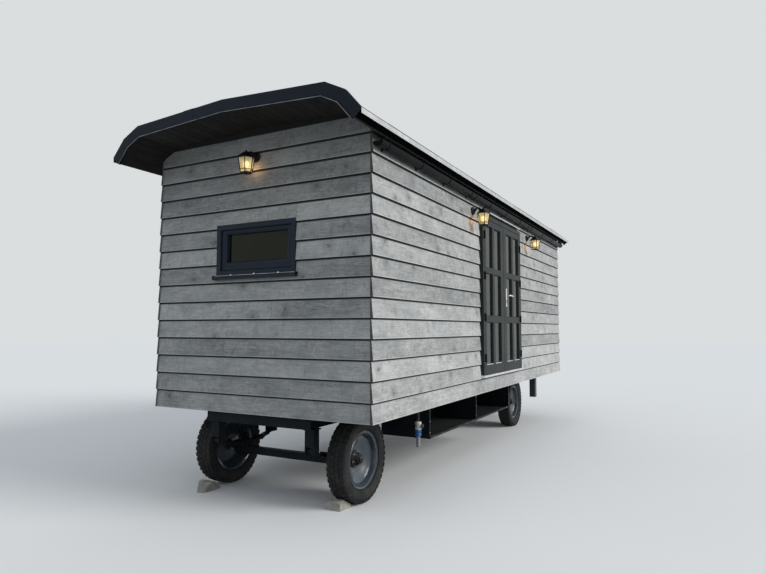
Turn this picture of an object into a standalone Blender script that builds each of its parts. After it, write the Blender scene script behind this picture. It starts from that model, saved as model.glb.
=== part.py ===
# Shepherd's hut on a four-wheeled steel chassis.
# Metres, +Z up. The long axis is X with the window end at -X, the door side faces -Y,
# and the origin is on the ground under the middle of the hut.

import math

import bmesh
import bpy
from mathutils import Matrix, Vector

# Clearance between pieces that touch, and between pieces that move past each other
GAP = 0.0003
SWING_GAP = 0.005
# Lap of pieces that are joined into one, and how far cutters reach past what they cut
LAP = 0.001
CUT_REACH = 0.1

# Timber body
BODY_LENGTH = 7.04
BODY_WIDTH = 2.49
CLADDING_BOTTOM = 0.80
WALL_THICKNESS = 0.12
FLOOR_THICKNESS = 0.185

# Roof section: (distance from the middle, height) of the outer surface, ridge to eave
RIDGE_HEIGHT = 3.55
SHOULDER = (1.068, 3.492)
HIP = (1.257, 3.396)
EAVE = (1.400, 3.230)
ROOF_DEPTH = 0.10
COVERING_THICKNESS = 0.012
WINDOW_END_OVERHANG = 0.455
FAR_END_OVERHANG = 0.25
FASCIA_THICKNESS = 0.015
FASCIA_DEPTH = 0.112
FASCIA_LIP = 0.010

# Gutter on the door side
GUTTER_RADIUS = 0.052
GUTTER_WALL = 0.003
GUTTER_RIM_HEIGHT = 3.115
GUTTER_BACK_CLEARANCE = 0.004
GUTTER_SIDES = 12
GUTTER_CLIPS = 5
GUTTER_CLIP_LENGTH = 0.030
GUTTER_CLIP_DEPTH = 0.020

# Double door near the middle of the door side, in a frame that stands out from the boards
DOOR_MIDDLE = -0.046
DOOR_WIDTH = 1.66
DOOR_BOTTOM = 1.0125
DOOR_TOP = 2.98
DOOR_JAMB = 0.050
DOOR_PROUD = 0.040
THRESHOLD_PROUD = 0.006
LEAF_THICKNESS = 0.056
LEAF_MEETING_GAP = 0.009
HINGE_STILE = 0.058
MEETING_STILE = 0.120
MUNTIN = 0.080
TOP_RAIL = 0.075
BOTTOM_RAIL = 0.115
LOCK_RAIL = 0.077
LOWER_PANE_TOP = 1.653
MIDDLE_PANE_TOP = 2.258
UPPER_PANE_BOTTOM = 2.328
BAR_DEPTH = 0.022
DOOR_GLASS = 0.024

# Door hinges, on the outside of the jambs
HINGE_HEIGHTS = (1.22, 1.71, 2.22, 2.72)
HINGE_LENGTH = 0.090
HINGE_RADIUS = 0.0085
HINGE_STANDOFF = 0.0105
FLAP_THICKNESS = 0.003
FLAP_REACH = 0.032
BARREL_SIDES = 8

# Door handle set on the right leaf
HANDLE_HEIGHT = 2.015
SPINDLE_FROM_PANE = 0.030
PLATE_BELOW = 0.150
PLATE_ABOVE = 0.094
PLATE_WIDTH = 0.040
PLATE_THICKNESS = 0.008
SPINDLE_RADIUS = 0.006
SPINDLE_HOLE_RADIUS = 0.010
LEVER_RADIUS = 0.0095
LEVER_CLEARANCE = 0.002
LEVER_STANDOFF = 0.050
LEVER_LENGTH = 0.135
PLATE_BOLT_RADIUS = 0.004
BOLT_FROM_SPINDLE = (0.060, -0.130)

# Window in the end wall
WINDOW_WIDTH = 0.93
WINDOW_BOTTOM = 2.070
WINDOW_TOP = 2.555
WINDOW_FRAME = 0.050
WINDOW_FRAME_DEPTH = 0.100
WINDOW_PROUD = 0.006
SASH_SIDE = 0.062
SASH_TOP = 0.042
SASH_BOTTOM = 0.082
SASH_SETBACK = 0.018
SASH_DEPTH = 0.068
WINDOW_GLASS_SETBACK = 0.058
WINDOW_GLASS = 0.020
WINDOW_SILL_OVERRUN = 0.025
WINDOW_SILL_PROUD = 0.036
WINDOW_SILL_HEIGHT = 0.036
WINDOW_SILL_FALL = 0.008

# Wall lanterns
LANTERN_END_HEIGHT = 3.160
LANTERN_SIDE_HEIGHT = 2.960
LANTERN_LEFT_OF_DOOR = 0.245
LANTERN_RIGHT_OF_DOOR = 0.515
LANTERN_OUT = 0.130
LANTERN_PLATE_RADIUS = 0.050
LANTERN_PLATE_RIM = 0.040
LANTERN_PLATE_THICKNESS = 0.016
LANTERN_PLATE_SIDES = 20
LANTERN_ARM_RADIUS = 0.011
LANTERN_ARM_BEND = (0.058, 0.018)
LANTERN_ARM_END = 0.011
LANTERN_SIDES = 6
LANTERN_GLASS_TOP = 0.075
LANTERN_GLASS_BOTTOM = 0.052
LANTERN_GLASS_HEIGHT = 0.140
LANTERN_GLASS_DROP = 0.036
LANTERN_GLASS_WALL = 0.003
LANTERN_CAP_HEIGHT = 0.052
LANTERN_CAP_RADIUS = 0.087
LANTERN_CAP_TOP_RADIUS = 0.026

# Chassis
RAIL_SPREAD = 0.55
RAIL_HEIGHT = 0.100
RAIL_WIDTH = 0.050
STEEL = 0.006
WELD_STEP = 0.001
END_MEMBER_INSET = 0.055
END_MEMBER_REACH = 0.60
CROSS_MEMBERS = (-1.75, 0.20, 2.75)

# Axles, springs and wheels
FRONT_AXLE = -2.970
REAR_AXLE = 1.880
WHEEL_CENTRE = 0.385
TYRE_RADIUS = 0.385
TYRE_WIDTH = 0.186
TYRE_BEAD_INSET = 0.012
TYRE_BEAD_RISE = 0.006
TYRE_SHOULDER = 0.018
TRACK_OUTSIDE = 0.866
RIM_RADIUS = 0.262
RIM_WIDTH = 0.150
RIM_SHEET = 0.008
RIM_WELL = 0.020
FLANGE_WIDTH = 0.011
DISC_STEP = 0.045
DISC_SLOPE = 0.012
DISC_SHEET = 0.016
DISC_DEPTH = 0.032
HUB_NOSE = 0.010
HUB_RADIUS = 0.062
DISC_SETBACK = 0.052
HUB_BORE = 0.0305
AXLE_BEAM = 0.070
AXLE_BEAM_TOP = 0.385
STUB_RADIUS = 0.030
STUB_LAP = 0.070
STUB_SETBACK = 0.004
STUB_SIDES = 20
AXLE_TO_RIM = 0.020
WHEEL_SIDES = 30
SPRING_HALF_SPAN = 0.40
SPRING_WIDTH = 0.070
SPRING_LEAF = 0.010
SPRING_LEAVES = 5
SPRING_EYE_HEIGHT = 0.505
SPRING_EYE_RADIUS = 0.024
SPRING_PIN_RADIUS = 0.012
SPRING_STATIONS = 10
EYE_SIDES = 12
HANGER_CHEEK = 0.012
HANGER_LENGTH = 0.084
HANGER_BELOW_EYE = 0.030
HANGER_ABOVE_EYE = 0.012
PIN_OVERHANG = 0.012

# Open storage tray under the floor on the door side
TRAY_X = (-2.19, 0.56)
TRAY_DIVIDER = -0.80
TRAY_INSET = 0.095
TRAY_TO_RAIL = 0.025
TRAY_BOTTOM = 0.47
TRAY_SHEET = 0.006

# Water connection: (radius, bottom, top) of the tail, the coupling, the valve and the pipe above them
INLET_X = -2.52
INLET_INSET = 0.065
INLET_TAIL = (0.020, 0.450, 0.560)
INLET_COUPLING = (0.029, 0.555, 0.605)
INLET_VALVE = (0.030, 0.612, 0.692)
INLET_PIPE_RADIUS = 0.012
INLET_SPINDLE_RADIUS = 0.010
INLET_SPINDLE_LENGTH = 0.052
INLET_SIDES = 12

# Steady legs, closed at the foot
LEG_X = 2.89
LEG_INSET = 0.345
LEG_SIZE = 0.102
LEG_BOTTOM = 0.37

# Wheel blocks: how far off the tread, length, and the two sides
BLOCK_DOOR_SIDE = (0.012, 0.175, -0.810, -0.590)
BLOCK_BACK = (0.052, 0.250, 0.660, 0.820)
BLOCK_HEIGHT = 0.085
BLOCK_REAR_HEIGHT = 0.076
BLOCK_REAR_SLOPE = 0.016
BLOCK_TOE = 0.020

# Worked out from the sizes above
HALF_LENGTH = BODY_LENGTH / 2
HALF_WIDTH = BODY_WIDTH / 2
FLOOR_TOP = CLADDING_BOTTOM + FLOOR_THICKNESS
DOOR_FACE = -HALF_WIDTH - DOOR_PROUD
JAMB_INNER = DOOR_WIDTH / 2 - DOOR_JAMB
HINGE_X = JAMB_INNER - SWING_GAP / 2
HINGE_Y = DOOR_FACE - HINGE_STANDOFF
LEAF_BOTTOM = DOOR_BOTTOM + SWING_GAP
LEAF_TOP = DOOR_TOP - DOOR_JAMB - SWING_GAP
LEAF_OUTER = JAMB_INNER - SWING_GAP
LEAF_INNER = LEAF_MEETING_GAP / 2
LEAF_BACK = DOOR_FACE + LEAF_THICKNESS
SPINDLE_X = LEAF_INNER + MEETING_STILE - SPINDLE_FROM_PANE
RAIL_BOTTOM = CLADDING_BOTTOM - RAIL_HEIGHT
TYRE_MIDDLE = TRACK_OUTSIDE - TYRE_WIDTH / 2
TRAY_FRONT = TRAY_INSET - HALF_WIDTH
TRAY_BACK = -RAIL_SPREAD - RAIL_WIDTH / 2 - TRAY_TO_RAIL
INLET_Y = INLET_INSET - HALF_WIDTH
LEG_Y = HALF_WIDTH - LEG_INSET
# The overhangs and the lanterns are uneven, so the body stands a little off the middle of the whole
MIDDLE_X = (WINDOW_END_OVERHANG - FAR_END_OVERHANG) / 2
MIDDLE_Y = (HALF_WIDTH + LANTERN_OUT + LANTERN_CAP_RADIUS - EAVE[0]) / 2


def clear_scene():
    for old in list(bpy.data.objects):
        bpy.data.objects.remove(old, do_unlink=True)


def paint(name, colour, roughness, metallic=0.0, alpha=1.0):
    mat = bpy.data.materials.new(name)
    mat.use_nodes = True
    shader = mat.node_tree.nodes["Principled BSDF"]
    shader.inputs["Base Color"].default_value = (*colour, 1.0)
    shader.inputs["Roughness"].default_value = roughness
    shader.inputs["Metallic"].default_value = metallic
    shader.inputs["Alpha"].default_value = alpha
    mat.diffuse_color = (*colour, alpha)
    return mat


def add_mesh(name, bm, mat=None):
    bmesh.ops.recalc_face_normals(bm, faces=bm.faces)
    mesh = bpy.data.meshes.new(name)
    bm.to_mesh(mesh)
    bm.free()
    obj = bpy.data.objects.new(name, mesh)
    bpy.context.scene.collection.objects.link(obj)
    if mat:
        mesh.materials.append(mat)
    return obj


def round_off(obj, angle=35):
    obj.data.shade_smooth()
    obj.data.set_sharp_from_angle(angle=math.radians(angle))
    return obj


def block(name, low, high, mat=None):
    """Box between two corners."""
    bm = bmesh.new()
    bmesh.ops.create_cube(bm, size=1.0)
    low, high = Vector(low), Vector(high)
    for vert in bm.verts:
        vert.co = Vector(low[i] + (high[i] - low[i]) * (vert.co[i] + 0.5) for i in range(3))
    return add_mesh(name, bm, mat)


def prism(name, outline, axis, start, end, mat=None):
    """Outline extruded along an axis: (y, z) along X, (x, z) along Y, (x, y) along Z."""
    place = {
        "X": lambda p, at: (at, p[0], p[1]),
        "Y": lambda p, at: (p[0], at, p[1]),
        "Z": lambda p, at: (p[0], p[1], at),
    }[axis]
    bm = bmesh.new()
    face = bm.faces.new([bm.verts.new(place(p, start)) for p in outline])
    grown = bmesh.ops.extrude_face_region(bm, geom=[face])
    shift = Vector(place((0, 0), end - start))
    bmesh.ops.translate(bm, vec=shift, verts=[v for v in grown["geom"] if isinstance(v, bmesh.types.BMVert)])
    return add_mesh(name, bm, mat)


def rod(name, centre, axis, radius, length, sides=16, mat=None, end_radius=None):
    """Round bar or cone starting at centre and running along an axis."""
    direction = Vector(axis).normalized()
    tip = radius if end_radius is None else end_radius
    bm = bmesh.new()
    bmesh.ops.create_cone(bm, cap_ends=True, segments=sides, radius1=radius, radius2=tip, depth=length)
    turn = Vector((0, 0, 1)).rotation_difference(direction)
    for vert in bm.verts:
        vert.co = turn @ (vert.co + Vector((0, 0, length / 2))) + Vector(centre)
    return round_off(add_mesh(name, bm, mat))


def helper(obj):
    obj.hide_render = True
    obj.display_type = "WIRE"
    return obj


def combine(obj, others, operation):
    for other in others:
        step = obj.modifiers.new(operation.lower() + "_" + other.name, "BOOLEAN")
        step.operation = operation
        step.solver = "EXACT"
        step.object = helper(other)
    return obj


def pivot(obj, point):
    """Put a moving piece's origin on its joint's axis."""
    obj.data.transform(Matrix.Translation(-Vector(point)))
    obj.location = point
    return obj


def fuse(obj, others):
    return combine(obj, others, "UNION")


def cut(obj, others):
    return combine(obj, others, "DIFFERENCE")


# Roof section

def roof_line(depth):
    """Roof outline at a depth under the outer surface, from one eave over the ridge to the other."""
    half = [(0.0, RIDGE_HEIGHT), SHOULDER, HIP, EAVE]
    points = [Vector((-y, z)) for y, z in reversed(half[1:])] + [Vector(p) for p in half]
    normals = []
    for a, b in zip(points, points[1:]):
        run = (b - a).normalized()
        normals.append(Vector((run.y, -run.x)))
    line = [points[0] + normals[0] * depth]
    for i in range(1, len(points) - 1):
        middle = (normals[i - 1] + normals[i]).normalized()
        line.append(points[i] + middle * depth / middle.dot(normals[i]))
    line.append(points[-1] + normals[-1] * depth)
    return line


def roof_band(upper, lower):
    """Closed outline between two depths."""
    return roof_line(upper) + list(reversed(roof_line(lower)))


def underside(y, clearance=GAP):
    """Height of the roof's underside at a distance from the middle."""
    line = roof_line(ROOF_DEPTH + clearance)
    for a, b in zip(line, line[1:]):
        if a.x <= y <= b.x:
            return a.y + (b.y - a.y) * (y - a.x) / (b.x - a.x)
    return line[0].y


def underside_points(y_low, y_high):
    """Corners of the underside between two distances, both ends included."""
    inner = [p for p in roof_line(ROOF_DEPTH + GAP) if y_low < p.x < y_high]
    start, end = Vector((y_low, underside(y_low))), Vector((y_high, underside(y_high)))
    return [start] + inner + [end]


def build_roof(paints):
    start = -HALF_LENGTH - WINDOW_END_OVERHANG
    end = HALF_LENGTH + FAR_END_OVERHANG
    prism("roof_covering", roof_band(0.0, COVERING_THICKNESS), "X", start, end, paints["anthracite"])
    prism("roof_deck", roof_band(COVERING_THICKNESS + GAP, ROOF_DEPTH), "X",
          start + FASCIA_THICKNESS + GAP, end - FASCIA_THICKNESS - GAP, paints["soffit"])
    for name, outer, inward in (("window_end_fascia", start, 1), ("far_end_fascia", end, -1)):
        band = roof_band(COVERING_THICKNESS + GAP, FASCIA_DEPTH)
        faces = sorted((outer, outer + inward * FASCIA_THICKNESS))
        fascia = prism(name, band, "X", *faces, paints["anthracite"])
        lip_band = roof_band(FASCIA_DEPTH - FASCIA_LIP, FASCIA_DEPTH)
        lip_faces = sorted((outer + inward * FASCIA_THICKNESS / 2, outer - inward * FASCIA_LIP))
        fuse(fascia, [prism(name + "_lip", lip_band, "X", *lip_faces)])


def half_round(radius, middle, top):
    """Lower half circle, from the right rim to the left one."""
    steps = [math.pi * i / GUTTER_SIDES for i in range(GUTTER_SIDES + 1)]
    return [(middle + radius * math.cos(a), top - radius * math.sin(a)) for a in steps]


def build_gutter(paints):
    middle = -(HALF_WIDTH + GUTTER_BACK_CLEARANCE + GUTTER_RADIUS)
    outer = half_round(GUTTER_RADIUS, middle, GUTTER_RIM_HEIGHT)
    inner = half_round(GUTTER_RADIUS - GUTTER_WALL, middle, GUTTER_RIM_HEIGHT)
    trough = prism("gutter_door_side", outer + list(reversed(inner)), "X", -HALF_LENGTH, HALF_LENGTH,
                   paints["black"])
    fittings = []
    for i, at in enumerate((-HALF_LENGTH, HALF_LENGTH - GUTTER_WALL)):
        plate = half_round(GUTTER_RADIUS - GUTTER_WALL / 2, middle, GUTTER_RIM_HEIGHT)
        fittings.append(prism("gutter_end_%d" % i, plate, "X", at, at + GUTTER_WALL))
    for i in range(GUTTER_CLIPS):
        at = BODY_LENGTH * ((i + 0.5) / GUTTER_CLIPS - 0.5)
        fittings.append(block("gutter_clip_%d" % i,
                              (at - GUTTER_CLIP_LENGTH / 2, middle + GUTTER_RADIUS - GUTTER_WALL / 2,
                               GUTTER_RIM_HEIGHT - GUTTER_CLIP_DEPTH),
                              (at + GUTTER_CLIP_LENGTH / 2, -HALF_WIDTH - GAP, GUTTER_RIM_HEIGHT - LAP)))
    fuse(round_off(trough), fittings)


# Walls and floor

def long_wall_outline(side, bottom, top=None):
    """Section of a wall along X, up to a level top or to the roof's underside."""
    outer, inner = side * HALF_WIDTH, side * (HALF_WIDTH - WALL_THICKNESS)
    low, high = sorted((outer, inner))
    if top is not None:
        return [(low, bottom), (high, bottom), (high, top), (low, top)]
    return [(low, bottom), (high, bottom)] + list(reversed(underside_points(low, high)))


def build_walls(paints):
    timber = paints["cladding"]
    inside_x = HALF_LENGTH - WALL_THICKNESS - GAP
    inside_y = HALF_WIDTH - WALL_THICKNESS - GAP
    door_left, door_right = DOOR_MIDDLE - DOOR_WIDTH / 2, DOOR_MIDDLE + DOOR_WIDTH / 2
    block("floor", (-inside_x, -inside_y, CLADDING_BOTTOM), (inside_x, inside_y, FLOOR_TOP), paints["floor"])

    outline = long_wall_outline(-1, CLADDING_BOTTOM)
    prism("front_wall_left", outline, "X", -HALF_LENGTH, door_left - GAP, timber)
    prism("front_wall_right", outline, "X", door_right + GAP, HALF_LENGTH, timber)
    prism("front_wall_header", long_wall_outline(-1, DOOR_TOP + GAP), "X", door_left, door_right, timber)
    sill = long_wall_outline(-1, CLADDING_BOTTOM, FLOOR_TOP)
    prism("front_wall_sill", sill, "X", door_left, door_right, timber)
    prism("back_wall", long_wall_outline(1, CLADDING_BOTTOM), "X", -HALF_LENGTH, HALF_LENGTH, timber)

    gable = [(-inside_y, CLADDING_BOTTOM), (inside_y, CLADDING_BOTTOM)]
    gable += list(reversed(underside_points(-inside_y, inside_y)))
    window_wall = prism("window_end_wall", gable, "X", -HALF_LENGTH, -HALF_LENGTH + WALL_THICKNESS, timber)
    half = WINDOW_WIDTH / 2 + GAP
    hole = block("window_hole", (-HALF_LENGTH - CUT_REACH, -half, WINDOW_BOTTOM - GAP),
                 (-HALF_LENGTH + WALL_THICKNESS + CUT_REACH, half, WINDOW_TOP + GAP))
    cut(window_wall, [hole])
    prism("far_end_wall", gable, "X", HALF_LENGTH - WALL_THICKNESS, HALF_LENGTH, timber)


# Double door

def hinge_parts(name, side, height, on_leaf):
    """Barrels and flap of one hinge half. The leaf has the middle barrel, the jamb the outer two."""
    third = HINGE_LENGTH / 3
    base = height - HINGE_LENGTH / 2
    spans = [(base + third, base + 2 * third)] if on_leaf else [
        (base, base + third), (base + 2 * third, base + HINGE_LENGTH)]
    towards = -side if on_leaf else side
    pieces = []
    for i, (low, high) in enumerate(spans):
        low, high = low + GAP, high - GAP
        barrel = rod("%s_barrel_%d" % (name, i), (side * HINGE_X, HINGE_Y, low), (0, 0, 1),
                     HINGE_RADIUS, high - low, BARREL_SIDES)
        x0, x1 = sorted((side * HINGE_X + towards * HINGE_RADIUS / 3, side * HINGE_X + towards * FLAP_REACH))
        back = DOOR_FACE + FLAP_THICKNESS / 2
        flap = block("%s_flap_%d" % (name, i), (x0, DOOR_FACE - FLAP_THICKNESS - GAP, low), (x1, back, high))
        pieces += [barrel, flap]
    return pieces


def pane_rows():
    return ((LEAF_BOTTOM + BOTTOM_RAIL, LOWER_PANE_TOP),
            (LOWER_PANE_TOP + LOCK_RAIL, MIDDLE_PANE_TOP),
            (UPPER_PANE_BOTTOM, LEAF_TOP - TOP_RAIL))


def build_leaf(name, side, paints):
    x0, x1 = sorted((side * LEAF_INNER, side * LEAF_OUTER))
    leaf = block("door_leaf_" + name, (x0, DOOR_FACE, LEAF_BOTTOM), (x1, LEAF_BACK, LEAF_TOP), paints["door"])
    stiles = (HINGE_STILE, MEETING_STILE) if side < 0 else (MEETING_STILE, HINGE_STILE)
    glass_x = (x0 + stiles[0], x1 - stiles[1])
    glass_z = (LEAF_BOTTOM + BOTTOM_RAIL, LEAF_TOP - TOP_RAIL)
    bars_back = DOOR_FACE + BAR_DEPTH
    tools = [block("%s_pocket" % name, (glass_x[0], bars_back, glass_z[0]),
                   (glass_x[1], LEAF_BACK + CUT_REACH, glass_z[1]))]
    middle = (glass_x[0] + glass_x[1]) / 2
    columns = ((glass_x[0], middle - MUNTIN / 2), (middle + MUNTIN / 2, glass_x[1]))
    for row, (low, high) in enumerate(pane_rows()):
        for column, (left, right) in enumerate(columns):
            tools.append(block("%s_pane_%d_%d" % (name, row, column), (left, DOOR_FACE - CUT_REACH, low),
                               (right, bars_back + LAP, high)))
    cut(leaf, tools)
    halves = []
    for i, height in enumerate(HINGE_HEIGHTS):
        halves += hinge_parts("%s_leaf_hinge_%d" % (name, i), side, height, True)
    fuse(leaf, halves)
    glass = block("door_glass_" + name, (glass_x[0] + GAP, bars_back + GAP, glass_z[0] + GAP),
                  (glass_x[1] - GAP, bars_back + DOOR_GLASS, glass_z[1] - GAP), paints["glass"])
    for piece in (leaf, glass):
        pivot(piece, (side * HINGE_X, HINGE_Y, LEAF_BOTTOM))
    return leaf


def build_door(paints):
    """Frame, threshold, leaves and handle, drawn about the middle of the door and then put in place."""
    others = set(bpy.data.objects)
    outer = DOOR_WIDTH / 2 - GAP
    top = DOOR_TOP - GAP
    head = DOOR_TOP - DOOR_JAMB
    foot = DOOR_BOTTOM + GAP
    outline = [(-outer, foot), (-JAMB_INNER, foot), (-JAMB_INNER, head), (JAMB_INNER, head),
               (JAMB_INNER, foot), (outer, foot), (outer, top), (-outer, top)]
    frame = prism("door_frame", outline, "Y", DOOR_FACE, -HALF_WIDTH + WALL_THICKNESS, paints["door"])
    halves = []
    for side in (-1, 1):
        for i, height in enumerate(HINGE_HEIGHTS):
            halves += hinge_parts("jamb_hinge_%d_%d" % (side, i), side, height, False)
    fuse(frame, halves)
    block("door_threshold", (-outer, DOOR_FACE - THRESHOLD_PROUD, FLOOR_TOP + GAP),
          (outer, -HALF_WIDTH + WALL_THICKNESS, DOOR_BOTTOM), paints["aluminium"])
    build_leaf("left", -1, paints)
    right = build_leaf("right", 1, paints)
    build_handle(right, paints)
    for piece in bpy.data.objects:
        if piece not in others:
            piece.location.x += DOOR_MIDDLE


def tube(name, path, mat=None, sides=12):
    """Round bar along points (x, y, z, radius), with a ring square to the path at each point."""
    points = [Vector(p[:3]) for p in path]
    bm = bmesh.new()
    rings = []
    for i, centre in enumerate(points):
        before = (centre - points[i - 1]).normalized() if i else None
        after = (points[i + 1] - centre).normalized() if i < len(points) - 1 else None
        along = before or after
        if before and after:
            along = (before + after).normalized()
        ring_side = along.cross(Vector((0, 0, 1))).normalized()
        ring_up = ring_side.cross(along)
        stretch = 1.0 / along.dot(after or before)
        ring = []
        for k in range(sides):
            angle = 2 * math.pi * k / sides
            offset = ring_side * math.cos(angle) * stretch + ring_up * math.sin(angle)
            ring.append(bm.verts.new(centre + offset * path[i][3]))
        rings.append(ring)
    for ring, following in zip(rings, rings[1:]):
        for k in range(sides):
            bm.faces.new((ring[k], ring[(k + 1) % sides], following[(k + 1) % sides], following[k]))
    bm.faces.new(rings[0])
    bm.faces.new(rings[-1])
    return round_off(add_mesh(name, bm, mat))


def build_handle(leaf, paints):
    out, back = DOOR_FACE - GAP, LEAF_BACK + GAP
    plate_out, plate_back = out - PLATE_THICKNESS, back + PLATE_THICKNESS
    x0, x1 = SPINDLE_X - PLATE_WIDTH / 2, SPINDLE_X + PLATE_WIDTH / 2
    z0, z1 = HANDLE_HEIGHT - PLATE_BELOW, HANDLE_HEIGHT + PLATE_ABOVE

    def across(name, drop, start, end, radius):
        return rod(name, (SPINDLE_X, start, HANDLE_HEIGHT + drop), (0, 1, 0), radius, end - start)

    through = (plate_out - CUT_REACH, plate_back + CUT_REACH)
    plates = block("door_handle_plates", (x0, plate_out, z0), (x1, out, z1), paints["steel"])
    joins = [block("inner_plate", (x0, back, z0), (x1, plate_back, z1))]
    holes = [across("leaf_spindle_hole", 0.0, *through, SPINDLE_HOLE_RADIUS)]
    for i, drop in enumerate(BOLT_FROM_SPINDLE):
        joins.append(across("plate_bolt_%d" % i, drop, out - LAP, back + LAP, PLATE_BOLT_RADIUS))
        holes.append(across("leaf_bolt_hole_%d" % i, drop, *through, PLATE_BOLT_RADIUS + GAP))
    fuse(plates, joins)
    cut(plates, [across("spindle_way", 0.0, *through, SPINDLE_RADIUS + 2 * GAP)])
    cut(leaf, holes)

    half_path = ((LEVER_LENGTH, LEVER_STANDOFF, LEVER_RADIUS), (LEVER_RADIUS, LEVER_STANDOFF, LEVER_RADIUS),
                 (0.0, LEVER_STANDOFF - LEVER_RADIUS, LEVER_RADIUS), (0.0, LEVER_CLEARANCE, LEVER_RADIUS),
                 (0.0, LEVER_CLEARANCE - LAP / 2, SPINDLE_RADIUS))
    path = [(SPINDLE_X + x, plate_out - away, HANDLE_HEIGHT, r) for x, away, r in half_path]
    path += [(SPINDLE_X + x, plate_back + away, HANDLE_HEIGHT, r) for x, away, r in reversed(half_path)]
    lever = tube("door_lever", path, paints["steel"])
    pivot(lever, (SPINDLE_X, DOOR_FACE, HANDLE_HEIGHT))
    pivot(plates, (HINGE_X, HINGE_Y, LEAF_BOTTOM))


# Window in the end wall

def ring_frame(name, half, low, high, edge_side, edge_low, edge_high, x0, x1, mat):
    frame = block(name, (x0, -half, low), (x1, half, high), mat)
    hole = block(name + "_hole", (x0 - CUT_REACH, -half + edge_side, low + edge_low),
                 (x1 + CUT_REACH, half - edge_side, high - edge_high))
    return cut(frame, [hole])


def build_window(paints):
    face = -HALF_LENGTH - WINDOW_PROUD
    half = WINDOW_WIDTH / 2
    ring_frame("window_frame", half, WINDOW_BOTTOM, WINDOW_TOP, WINDOW_FRAME, WINDOW_FRAME, WINDOW_FRAME,
               face, face + WINDOW_FRAME_DEPTH, paints["window"])
    sash_half = half - WINDOW_FRAME - GAP
    low, high = WINDOW_BOTTOM + WINDOW_FRAME + GAP, WINDOW_TOP - WINDOW_FRAME - GAP
    sash_face = face + SASH_SETBACK
    ring_frame("window_sash", sash_half, low, high, SASH_SIDE, SASH_BOTTOM, SASH_TOP,
               sash_face, sash_face + SASH_DEPTH, paints["window"])
    glass_half = sash_half - SASH_SIDE - GAP
    glass_x = face + WINDOW_GLASS_SETBACK
    block("window_glass", (glass_x, -glass_half, low + SASH_BOTTOM + GAP),
          (glass_x + WINDOW_GLASS, glass_half, high - SASH_TOP - GAP), paints["glass"])
    sill_top = WINDOW_BOTTOM - GAP
    sill_back, sill_nose = -HALF_LENGTH - GAP, -HALF_LENGTH - WINDOW_SILL_PROUD
    outline = [(sill_nose, sill_top - WINDOW_SILL_HEIGHT), (sill_back, sill_top - WINDOW_SILL_HEIGHT),
               (sill_back, sill_top), (sill_nose, sill_top - WINDOW_SILL_FALL)]
    reach = half + WINDOW_SILL_OVERRUN
    prism("window_sill", outline, "Y", -reach, reach, paints["window"])


# Lanterns

def frustum(name, centre, low, high, low_radius, high_radius, sides, mat=None):
    bm = bmesh.new()
    rings = []
    for height, radius in ((low, low_radius), (high, high_radius)):
        corners = [2 * math.pi * (k + 0.5) / sides for k in range(sides)]
        rings.append([bm.verts.new((centre[0] + radius * math.cos(a), centre[1] + radius * math.sin(a), height))
                      for a in corners])
    for k in range(sides):
        j = (k + 1) % sides
        bm.faces.new((rings[0][k], rings[0][j], rings[1][j], rings[1][k]))
    bm.faces.new(rings[0])
    bm.faces.new(rings[1])
    return add_mesh(name, bm, mat)


def build_lantern(name, foot, outward, paints):
    """Round back plate, bent arm, flared cap and a tapered glass under it."""
    foot, outward = Vector(foot), Vector(outward)
    centre = foot + outward * LANTERN_OUT
    glass_top = foot.z - LANTERN_GLASS_DROP
    glass_bottom = glass_top - LANTERN_GLASS_HEIGHT
    body = rod("lantern_" + name, foot + outward * GAP, outward, LANTERN_PLATE_RADIUS,
               LANTERN_PLATE_THICKNESS, LANTERN_PLATE_SIDES, paints["black"], LANTERN_PLATE_RIM)
    along_arm = ((LANTERN_PLATE_THICKNESS / 2, 0.0), LANTERN_ARM_BEND, (LANTERN_OUT, LANTERN_ARM_END))
    arm = tube("%s_arm" % name, [(*(foot + outward * out + Vector((0, 0, rise))), LANTERN_ARM_RADIUS)
                                 for out, rise in along_arm])
    cap = frustum("%s_cap" % name, centre, glass_top + GAP, glass_top + LANTERN_CAP_HEIGHT,
                  LANTERN_CAP_RADIUS, LANTERN_CAP_TOP_RADIUS, LANTERN_SIDES)
    fuse(body, [arm, cap])
    glass = frustum("lantern_glass_" + name, centre, glass_bottom, glass_top,
                    LANTERN_GLASS_BOTTOM, LANTERN_GLASS_TOP, LANTERN_SIDES, paints["glass"])
    hollow = frustum("%s_hollow" % name, centre, glass_bottom + LANTERN_GLASS_WALL, glass_top + LAP,
                     LANTERN_GLASS_BOTTOM - LANTERN_GLASS_WALL,
                     LANTERN_GLASS_TOP - LANTERN_GLASS_WALL, LANTERN_SIDES)
    cut(glass, [hollow])


def build_lanterns(paints):
    build_lantern("end", (-HALF_LENGTH, 0, LANTERN_END_HEIGHT), (-1, 0, 0), paints)
    for name, at in (("left", DOOR_MIDDLE - DOOR_WIDTH / 2 - LANTERN_LEFT_OF_DOOR),
                     ("right", DOOR_MIDDLE + DOOR_WIDTH / 2 + LANTERN_RIGHT_OF_DOOR)):
        build_lantern(name, (at, -HALF_WIDTH, LANTERN_SIDE_HEIGHT), (0, -1, 0), paints)


# Chassis

def channel(along, height, width, top, flip):
    """C section: web at along, flanges running to along + flip * width."""
    a, b, c = along, along + flip * STEEL, along + flip * width
    low, high = top - height, top
    return [(a, low), (c, low), (c, low + STEEL), (b, low + STEEL), (b, high - STEEL), (c, high - STEEL),
            (c, high), (a, high)]


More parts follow.
